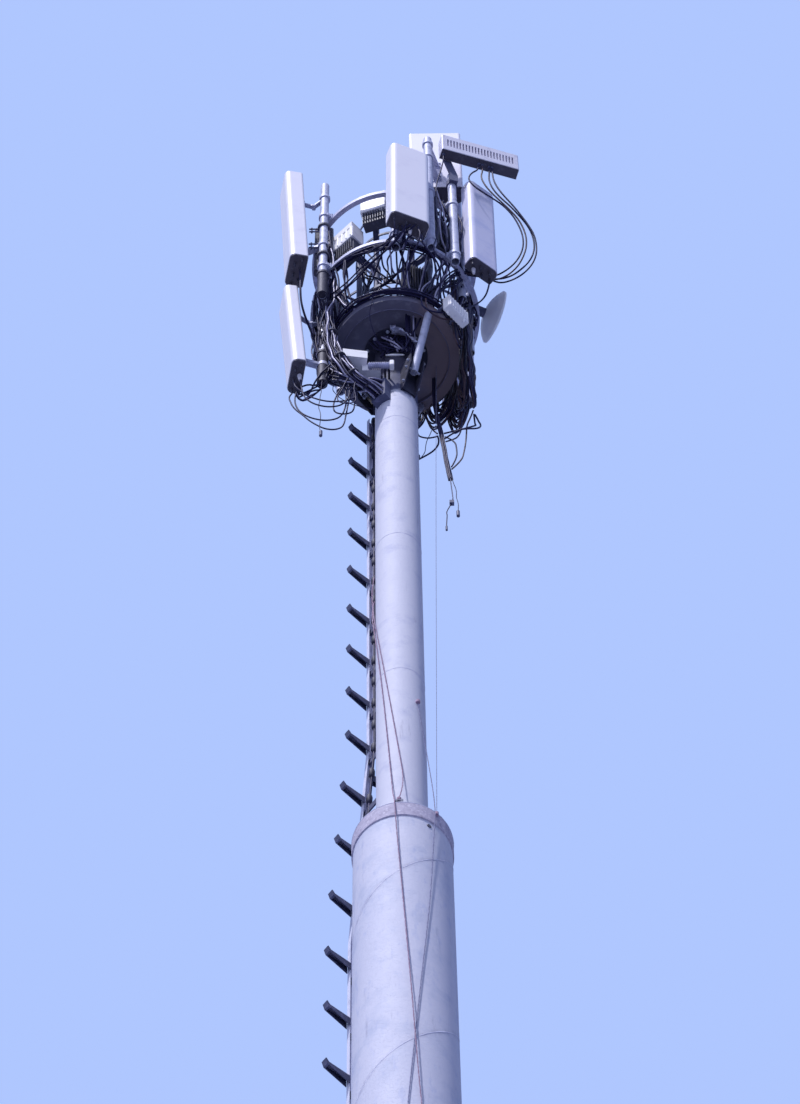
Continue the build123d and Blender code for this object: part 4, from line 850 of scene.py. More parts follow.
class FastenerTree(GrowthTree):
    """Sets one fastener on every point, turned to the point's aim and scaled to its size."""

    def __init__(self) -> None:
        """Build the tree."""
        super().__init__("fasteners", {"Fastener": ("Object", None)})
        info = self.node("GeometryNodeObjectInfo", {"Object": self.size("Fastener")}, transform_space="ORIGINAL")
        aim, size = (
            self.node("GeometryNodeInputNamedAttribute", {"Name": label}, data_type=kind).outputs["Attribute"]
            for label, kind in (("aim", "FLOAT_VECTOR"), ("size", "FLOAT"))
        )
        turn = self.node("FunctionNodeAlignRotationToVector", {"Vector": aim}, axis="Z").outputs["Rotation"]
        copies = {
            "Points": self.entry.outputs["Geometry"],
            "Instance": info.outputs["Geometry"],
            "Rotation": turn,
            "Scale": size,
        }
        self.close(self.node("GeometryNodeInstanceOnPoints", copies).outputs[0])


class Head(Enum):
    """The heads that a fastener may have."""

    NUT = "nut"
    BOOT = "boot"


@dataclass
class Fasteners:
    """Every fastener of one kind on one sub-assembly."""

    tree: FastenerTree
    head: Head = Head.NUT
    spots: list[tuple[Vector, Vector, float]] = field(default_factory=list)

    def add(self, place: Matrix, aim: Point, size: float, spot: Point = (0, 0, 0)) -> None:
        """Note one fastener by its frame, and in that frame its aim, its head's radius and its foot."""
        self.spots.append((place @ Vector(spot), (place.to_3x3() @ Vector(aim)).normalized(), size))

    def sample(self) -> Piece:
        """Make one fastener with a head of radius 1, standing on the origin.

        Returns:
            The fastener.
        """
        mesh = bmesh.new()
        if self.head is Head.NUT:
            lathe(mesh, [(1.25, 0), (1.25, 0.16)], 14, Matrix())
            lathe(mesh, [(0.92, 0.16), (1, 0.24), (1, 0.86), (0.9, 0.98)], 6, Matrix())
            lathe(mesh, [(0.52, 0.98), (0.52, 1.4), (0.42, 1.5)], 10, Matrix())
        else:
            collar = [(1, 0), (1.05, 0.5), (1, 1.5), (0.86, 1.7), (0.86, 2.1)]
            sleeve = [(0.95, 2.2), (0.8, 3.4), (0.62, 5.2)]
            lathe(mesh, collar + sleeve, 12, Matrix())
        return mesh_object("sample", mesh, self.head is Head.BOOT)

    def build(self, name: str, finish: Finish) -> Piece:
        """Return the piece that holds all the fasteners.

        Args:
            name: The piece's name.
            finish: What they are made of.

        Returns:
            The new object.
        """
        data = bpy.data.meshes.new(name + "_spots")
        data.from_pydata([tuple(spot) for spot, _, _ in self.spots], [], [])
        data.attributes.new("aim", "FLOAT_VECTOR", "POINT")
        data.attributes.new("size", "FLOAT", "POINT")
        for index, (_, way, radius) in enumerate(self.spots):
            data.attributes["aim"].data[index].vector = way
            data.attributes["size"].data[index].value = radius
        sample = self.sample()
        base = add_object(name + "_spots", data)
        piece = self.tree.grow(base, name, {"Fastener": sample, "Material": finish.material()})
        bpy.data.objects.remove(sample)
        return settle(piece, finish)


@dataclass
class Workshop:
    """The node trees that the sub-assemblies share."""

    strands: StrandTree = field(default_factory=StrandTree)
    fasteners: FastenerTree = field(default_factory=FastenerTree)

    def lay(self, name: str, line: Piece, finish: Finish, sizes: Sizes, *nodes: str) -> Piece:
        """Return strands of these sizes along a curve, which is used up, in place of the nodes if any."""
        piece = self.strands.grow(line, name, {**sizes, "Material": finish.material()})
        return settle(piece, finish, *nodes)


# Sub-assemblies
@dataclass
class Mast:
    """The stepped mast: two lengths of wound pipe, the collar and the slimmer upper pipe."""

    shop: Workshop
    lower_r: float = 0.305
    upper_r: float = 0.162
    splice_z: tuple[float, float] = (11.2, 11.264)
    collar_z: float = 22.46
    collar_edge_z: float = 22.611
    cap_z: float = 22.63
    flange_z: float = 0.04
    head_z: float = 30.04
    tray_step_r: float = 0.420
    seam_rise: float = 1.86
    seam_level: float = 22.315
    seam_pitch: float = 6
    seam_sunk: float = 0.003
    sunk: float = 0.002
    seam_bead: float = 0.005
    girth_bead: float = 0.0038
    step_bead: float = 0.003
    edge_bead: float = 0.006
    girths: tuple[float, ...] = (24.63, 26.64, 28.62)
    anchor_r: float = 0.41
    anchors: int = 12
    anchor_nut: float = 0.029
    splice_bolt_r: float = 0.35
    splice_bolts: int = 16
    splice_nut: float = 0.022
    drain: tuple[float, float] = (-58, 22.409)

    def build(self) -> None:
        """Dress the mast's nodes and add its welds, drain and bolts."""
        dress(PIPE_ZINC, "mast_bottom_length", "mast_middle_length")
        dress(MAST_ZINC_AND_SHADE, "upper_mast")
        dress(CAP_ZINC, "collar_cap_plate")
        dress(FLANGE_ZINC, "base_flange", "base_gussets", "splice_flange_lower", "splice_flange_upper")
        dress(COLLAR_COAT, "mast_collar")
        dress(DARK_COAT, "collar_lugs")
        self.spiral_welds()
        self.ring_welds()
        self.drain_hole()
        self.bolts()

    def seam(self, low: float, high: float) -> Line:
        """Return the line of the spiral seam between two heights.

        Args:
            low: The height of its foot.
            high: The height of its top.

        Returns:
            The points of the line.
        """
        first, last = ((z - self.seam_level) / self.seam_rise * 360 for z in (low, high))
        count = int((last - first) / self.seam_pitch)
        shares = [index / count for index in range(count + 1)]
        return [
            tuple(polar(self.lower_r - self.seam_sunk, first + (last - first) * share, low + (high - low) * share))
            for share in shares
        ]

    def spiral_welds(self) -> None:
        """Lay the spiral bead along both lengths of the large pipe."""
        lines = [self.seam(0.05, self.splice_z[0]), self.seam(self.splice_z[1], self.collar_z)]
        sizes = {"Thickness": self.seam_bead, "Step": 0.035, "Waviness": 0.0004, "Wave Size": 0.03}
        self.shop.lay("spiral_welds", curve("seam_lines", lines, smooth=False), WELD_STEEL, sizes)

    def ring_welds(self) -> None:
        """Lay the girth welds, a painted highlight ring on the tray's inner step, and the weld edges of the collar
        and flanges.
        """
        girths = [(self.upper_r - self.sunk, z) for z in self.girths]
        self.rings("girth_welds", girths, self.girth_bead, GIRTH_STEEL)
        # Painted highlight: a thin lighter ring on the tray's inner step.
        self.rings("tray_step", [(self.tray_step_r, self.head_z - 0.001)], self.step_bead, STEP_HIGHLIGHT)
        edges = [(self.upper_r + 0.003, self.cap_z + 0.003), (self.lower_r + 0.004, self.collar_edge_z)]
        flanges = (self.flange_z + self.sunk, self.splice_z[0] - self.sunk, self.splice_z[1] + self.sunk)
        edges += [(self.lower_r + self.sunk, z) for z in flanges]
        self.rings("ring_welds", edges, self.edge_bead, WELD_STEEL)

    def rings(self, name: str, circles: Outline, bead: float, finish: Finish) -> None:
        """Lay one piece of level beads.

        Args:
            name: The piece's name.
            circles: The radius and height of each.
            bead: The radius of the bead.
            finish: What it is made of.
        """
        lines = [[tuple(polar(radius, azimuth, z)) for azimuth in range(0, 360, 5)] for radius, z in circles]
        sizes = {"Thickness": bead, "Step": 0.02, "Waviness": 0.0006, "Wave Size": 0.02}
        self.shop.lay(name, curve(name + "_lines", lines, smooth=False, closed=True), finish, sizes)

    def drain_hole(self) -> None:
        """Add the dark drain bush below the collar."""
        mesh = bmesh.new()
        place = placed(self.lower_r - self.sunk, *self.drain) @ spin(90, "Y")
        lathe(mesh, [(0.016, 0), (0.016, 0.004), (0.012, 0.007), (0.010, 0.007), (0.009, 0.001)], 20, place)
        settle(mesh_object("drain_bush", mesh, True), CAP_PLASTIC)

    def bolts(self) -> None:
        """Add the nuts of the foundation and of the splice."""
        nuts = Fasteners(self.shop.fasteners)
        for index in range(self.anchors):
            nuts.add(placed(self.anchor_r, index * 360 / self.anchors, self.flange_z), UP, self.anchor_nut)
        for index in range(self.splice_bolts):
            for z, aim in zip(self.splice_z, (DOWN, UP)):
                place = placed(self.splice_bolt_r, index * 360 / self.splice_bolts, z)
                nuts.add(place, aim, self.splice_nut)
        nuts.build("mast_nuts", BOLT_ZINC)


@dataclass
class ClimbingGear:
    """The channel rail with its pressed pegs, its standoffs and the cable that is clipped beside it."""

    shop: Workshop
    azimuth: float = 128
    lower_r: float = 0.51
    upper_r: float = 0.325
    bend: tuple[float, float] = (22.1, 24.25)
    cable_in: float = 0.043
    cable_half: float = 0.009
    cable_z: tuple[float, float] = (2.5, 29.40)
    clip_drop: float = 0.1
    clip_pitch: float = 0.3

    def build(self) -> None:
        """Dress the rail, the pegs and the standoffs, and clip the cable beside the rail."""
        dress(RAIL_ZINC, "climbing_rail_lower", "climbing_rail_bend", "climbing_rail_upper")
        dress(DARK_COAT, "climbing_pegs_lower", "climbing_pegs_upper")
        dress(DARK_COAT, "rail_standoffs_lower", "rail_standoffs_upper")
        self.clipped_cable()

    def cable_r(self, z: float) -> float:
        """Return how far the cable beside the rail stands from the mast's axis at a height."""
        share = min(max((self.bend[1] - z) / (self.bend[1] - self.bend[0]), 0.0), 1.0)
        return self.upper_r + share * (self.lower_r - self.upper_r) - self.cable_in

    def clipped_cable(self) -> None:
        """Make the cable beside the rail, with its clips."""
        foot, top = self.cable_z
        line = [tuple(polar(self.cable_r(z), self.azimuth, z)) for z in (top, self.bend[1], self.bend[0], foot)]
        base = curve("rail_cable_line", [line], smooth=False)
        self.shop.lay("rail_cable", base, CABLE_JACKET, {"Thickness": self.cable_half, "Step": 0.15})
        mesh = bmesh.new()
        z = top - self.clip_drop
        while z > self.bend[0]:
            place = placed(self.cable_r(z), self.azimuth, z)
            lathe(mesh, [(0.010, 0), (0.020, 0.012), (0.022, 0.07), (0.017, 0.10), (0.010, 0.11)], 8, place)
            z -= self.clip_pitch
        settle(mesh_object("rail_clips", mesh, True), DARK_BOOT)


@dataclass
class HeadFrame:
    """The dished tray, its saddle and braces, and the cage that stands on it."""

    shop: Workshop
    saddle_r: float = 0.226
    saddle_z: float = 30.064
    saddle_bolts: int = 12
    saddle_first: float = 15
    saddle_nut: float = 0.012
    bracket_azimuths: tuple[float, ...] = (-55, 65, 185)
    bracket_z: float = 29.52
    bracket_half: float = 0.063
    bracket_nut: float = 0.011
    bracket_bolts: tuple[tuple[float, float], ...] = ((0.156, 0.236), (0.08, 0.262), (0.34, 0.196))

    def build(self) -> None:
        """Dress the frame's nodes and add its bolts."""
        dress(TRAY_COAT, "head_tray")
        dress(SADDLE_COAT, "head_saddle", "brace_brackets")
        dress(DARK_COAT, "core_posts", "core_rings", "hoop_spokes")
        dress(TUBE_ZINC, "knee_braces")
        dress(HOOP_ZINC, "hoop_lower", "hoop_upper")
        bolts = Fasteners(self.shop.fasteners)
        for index in range(self.saddle_bolts):
            azimuth = self.saddle_first + index * 360 / self.saddle_bolts
            bolts.add(placed(self.saddle_r, azimuth, self.saddle_z), DOWN, self.saddle_nut)
        for azimuth in self.bracket_azimuths:
            for side in (-1, 1):
                for depth, out in self.bracket_bolts:
                    place = placed(out, azimuth, self.bracket_z - depth)
                    bolts.add(place, (0, side, 0), self.bracket_nut, (0, side * self.bracket_half, 0))
        bolts.build("frame_bolts", BOLT_ZINC)


@dataclass(frozen=True)
class Panel:
    """One antenna panel: where its frame stands, how large it is and which of its boots are pale."""

    node: str
    pipe_r: float
    pipe_azimuth: float
    out: float
    side: float
    foot: float
    azimuth: float
    lean: float
    width: float
    depth: float
    finish: Finish
    pale: tuple[int, ...]
    brackets: tuple[float, ...]

    def place(self) -> Matrix:
        """Return the frame at the foot of the panel's back, x outwards."""
        stand = move(polar(self.pipe_r, self.pipe_azimuth, self.foot)) @ spin(self.azimuth, "Z")
        return stand @ move((self.out, self.side, 0)) @ spin(self.lean, "Y")


PANELS = (
    Panel("panel_left_upper", 0.722, 218.5, 0.1238, -0.081, 30.864, 192, 2.4, 0.285, 0.15, RADOME, (),
          (0.42, 1.45)),
    Panel("panel_left_lower", 0.590, 199, 0.1459, 0.0164, 29.17, 191, 3.6, 0.29, 0.11, RADOME, (3,), (0.3, 1.15)),
    Panel("panel_front", 0.722, 271, 0.0856, 0.0435, 30.7, 292, 0.8, 0.33, 0.15, RADOME, (3,), (0.42, 1.05)),
    Panel("panel_rear", 0.722, 294, 0.1916, -0.0663, 32.5, 90, 0, 0.44, 0.15, RADOME, (), (0.18, 0.48)),
    Panel("panel_right_upper", 0.590, 334, 0.1622, 0.0255, 30.79, 307.4, 0.6, 0.268, 0.128, RADOME_SHADED, (1,),
          (0.64, 1.4)),
    Panel("panel_right_lower", 0.722, 55, 0.121, 0.0165, 30.74, 55, 1.5, 0.27, 0.12, RADOME_SHADED, (4,),
          (0.26, 1.0)),
)


class Boot(Enum):
    """The tone of the boots under a panel."""

    PALE = "pale"
    DARK = "dark"


@dataclass
class AntennaRing:
    """The upright pipes with their clamps, tilt brackets and antenna panels."""

    shop: Workshop
    panels: tuple[Panel, ...] = PANELS
    boss_count: int = 6
    boss_spread: float = 0.76
    boss_stagger: float = 0.17
    boss_length: float = 0.016
    pale_boot: float = 0.017
    dark_boot: float = 0.010
    bolt_head: float = 0.008
    bolt_half: float = 0.034
    bolt_rise: float = 0.04
    plate: float = 0.0083

    def build(self) -> None:
        """Dress the pipes and panels and add their boots and bolts."""
        dress(TUBE_ZINC, "antenna_pipes", "pipe_clamps", "tilt_brackets")
        dress(CAP_PLASTIC, "panel_end_caps")
        for panel in self.panels:
            dress(panel.finish, panel.node)
        self.boots(Boot.PALE, self.pale_boot, BOOT_RUBBER)
        self.boots(Boot.DARK, self.dark_boot, DARK_BOOT)
        self.bolts()

    def boots(self, tone: Boot, size: float, finish: Finish) -> None:
        """Add the connector boots under the panels of one tone.

        Args:
            tone: Which boots these are.
            size: Their radius.
            finish: What they are made of.
        """
        boots = Fasteners(self.shop.fasteners, Head.BOOT)
        for panel in self.panels:
            for index in range(self.boss_count):
                if (index in panel.pale) is not (tone is Boot.PALE):
                    continue
                row = self.boss_stagger if index % 2 == 0 else -self.boss_stagger
                along = self.boss_spread * (index / (self.boss_count - 1) - 0.5)
                spot = (panel.depth * (0.5 + row), panel.width * along, -self.boss_length)
                boots.add(panel.place(), DOWN, size, spot)
        boots.build(tone.value + "_boots", finish)

    def bolts(self) -> None:
        """Add the bolts of the panels' back plates."""
        bolts = Fasteners(self.shop.fasteners)
        for panel in self.panels:
            for height in panel.brackets:
                for side in (-self.bolt_half, self.bolt_half):
                    for rise in (-self.bolt_rise, self.bolt_rise):
                        spot = (-self.plate, side, height + rise)
                        bolts.add(panel.place(), (-1, 0, 0), self.bolt_head, spot)
        bolts.build("panel_bolts", BOLT_ZINC)


@dataclass(frozen=True)
class Hood:
    """A pale hood over the upper part of a radio."""

    name: str
    radius: float
    azimuth: float
    foot: float
    width: float
    depth: float
    height: float
    ribs: int = 0


@dataclass
class HeadEquipment:
    """The active unit on its arm, the dish, the radios and the boxes under the tray."""

    hoods: tuple[Hood, ...] = (
        Hood("hood_front", 0.522, 253, 31.80, 0.214, 0.126, 0.26),
        Hood("hood_left", 0.543, 227, 31.34, 0.224, 0.136, 0.22, 5),
        Hood("ribbed_unit", 0.632, 318, 29.87, 0.225, 0.070, 0.20, 8),
    )
    rods_z: float = 30.045
    rods_in: float = 0.130
    rods: tuple[float, ...] = (-0.07, 0.07)
    sill_pipe: tuple[float, float] = (0.722, 312)
    sill_azimuth: float = 287.3
    sill_at: Point = (0.1244, 0.2084, 32.698)
    sill_size: Point = (0.089, 0.662, 0.006)
    left_pipe: tuple[float, float] = (0.722, 218.5)
    slim_at: Point = (-0.565, -0.365, 31.37)
    slim_size: Point = (0.15, 0.064, 0.90)
    slim_ribs: int = 9
    slim_bands: tuple[float, ...] = (-0.3, 0.3)
    sleeve_r: float = 0.042
    sleeves: tuple[tuple[float, float, float, float], ...] = (
        (0.722, 218.5, 30.266, 30.70),
        (0.590, 199, 29.146, 29.72),
    )
    stud_end: tuple[float, float] = (-0.585, -0.449)
    stud_length: float = 0.10
    stud_heights: tuple[float, ...] = (31.655, 31.60, 31.335, 31.26)

    def build(self) -> None:
        """Dress the equipment and add its hoods, sill, studs, slim unit and sleeves."""
        dress(UNIT_PAINT, "active_antenna_unit")
        dress(DARK_COAT, "active_unit_arm", "dish_mount", "radio_brackets", "junction_brackets", "cable_fittings")
        dress(DISH_WHITE, "dish_radome")
        dress(RADIO_CAST, "remote_radios")
        dress(CREAM_COVER, "radio_covers", "junction_boxes")
        for hood in self.hoods:
            self.radio_hood(hood)
        self.unit_sill()
        self.pipe_studs()
        self.pipe_unit()
        self.pipe_sleeves()
        self.ribbed_unit_rods()

    def radio_hood(self, hood: Hood) -> None:
        """Make one chamfered hood with its latch and ribs.

        Args:
            hood: Its place and size.
        """
        place = placed(hood.radius, hood.azimuth, hood.foot + hood.height / 2)
        mesh = worn_box((hood.depth, hood.width, hood.height), 0.010, place, profile=0.6)
        tall = hood.height * 0.8
        for index in range(hood.ribs):
            y = (index / (hood.ribs - 1) - 0.5) * hood.width * 0.84
            for side in (-1, 1):
                rib = place @ move((side * hood.depth / 2, y, -hood.height * 0.4))
                lathe(mesh, [(0.006, 0), (0.008, 0.004), (0.008, tall), (0.006, hood.height * 0.81)], 8, rib)
        for side in (-1, 1):
            knob = place @ move((side * hood.depth * 0.3, side * hood.width * 0.3, -hood.height / 2))
            lathe(mesh, [(0.012, 0.002), (0.012, -0.012), (0.008, -0.014), (0.008, -0.034)], 10, knob)
        settle(mesh_object(hood.name, mesh), CREAM_COVER)

    def unit_sill(self) -> None:
        """Make the dark sill that closes the active unit's foot."""
        out, side, z = self.sill_at
        place = move(polar(*self.sill_pipe, z)) @ spin(self.sill_azimuth, "Z") @ move((out, side, 0))
        settle(mesh_object("unit_sill", worn_box(self.sill_size, 0.002, place, steps=1)), CAP_PLASTIC)

    def pipe_studs(self) -> None:
        """Make the long twin studs at the left pipe."""
        mesh = bmesh.new()
        length = self.stud_length
        x, y = self.stud_end
        for z in self.stud_heights:
            place = move((x - length, y, z)) @ spin(90, "Y")
            lathe(mesh, [(0.006, 0), (0.007, 0.002), (0.007, length), (0.006, length + 0.002)], 8, place)
            lathe(mesh, [(0.014, 0.016), (0.014, 0.028)], 6, place)
        settle(mesh_object("pipe_studs", mesh), DARK_COAT)

    def pipe_unit(self) -> None:
        """Make the slim dark unit that is strapped behind the left pipe."""
        centre = move(self.slim_at)
        mesh = worn_box(self.slim_size, 0.008, centre)
        width, depth, height = self.slim_size
        for index in range(self.slim_ribs):
            x = (index / (self.slim_ribs - 1) - 0.5) * width * 0.86
            for side in (-1, 1):
                rib = centre @ move((x, side * depth / 2, -height * 0.44))
                lathe(mesh, [(0.004, 0), (0.006, 0.004), (0.006, height * 0.88), (0.004, height * 0.885)], 6, rib)
        for rise in self.slim_bands:
            band = move(polar(*self.left_pipe, self.slim_at[2] + rise))
            lathe(mesh, [(0.048, -0.016), (0.052, -0.013), (0.052, 0.013), (0.048, 0.016)], 20, band)
        settle(mesh_object("pipe_unit", mesh), RADIO_CAST)

    def pipe_sleeves(self) -> None:
        """Make the dark sleeves over the feet of the two left pipes."""
        mesh = bmesh.new()
        for radius, azimuth, foot, top in self.sleeves:
            wide, height = self.sleeve_r, top - foot
            inside = [(wide - 0.014, 0.02), (wide - 0.010, 0.0)]
            body = [(wide, 0.0), (wide, height - 0.05)]
            lip = [(wide + 0.007, height - 0.045), (wide + 0.007, height - 0.012), (wide - 0.001, height)]
            lathe(mesh, inside + body + lip, 24, move(polar(radius, azimuth, foot)))
        settle(mesh_object("pipe_sleeves", mesh), DARK_BOOT)

    def ribbed_unit_rods(self) -> None:
        """Make the two rods that carry the ribbed unit on the edge of the tray."""
        mesh = bmesh.new()
        unit = self.hoods[-1]
        for side in self.rods:
            foot = placed(unit.radius - self.rods_in, unit.azimuth, self.rods_z)
            place = foot @ move((0, side, 0)) @ spin(90, "Y")
            lathe(mesh, [(0.009, 0), (0.011, 0.003), (0.011, 0.10)], 10, place)
            lathe(mesh, [(0.018, 0.02), (0.018, 0.032)], 6, place)
        settle(mesh_object("ribbed_unit_rods", mesh), DARK_COAT)


class FarEnd(Enum):
    """What the far end of a cord comes to."""

    OBJECT = "object"
    KNOT = "knot"


class Lay(Enum):
    """How a cord lies."""

    HANGING = "hanging"
    TAUT = "taut"


@dataclass(frozen=True)
class Route:
    """One cord: its diameter, its cut length and the points that its line follows."""

    name: str
    diameter: float
    length: float
    points: tuple[Point, ...]


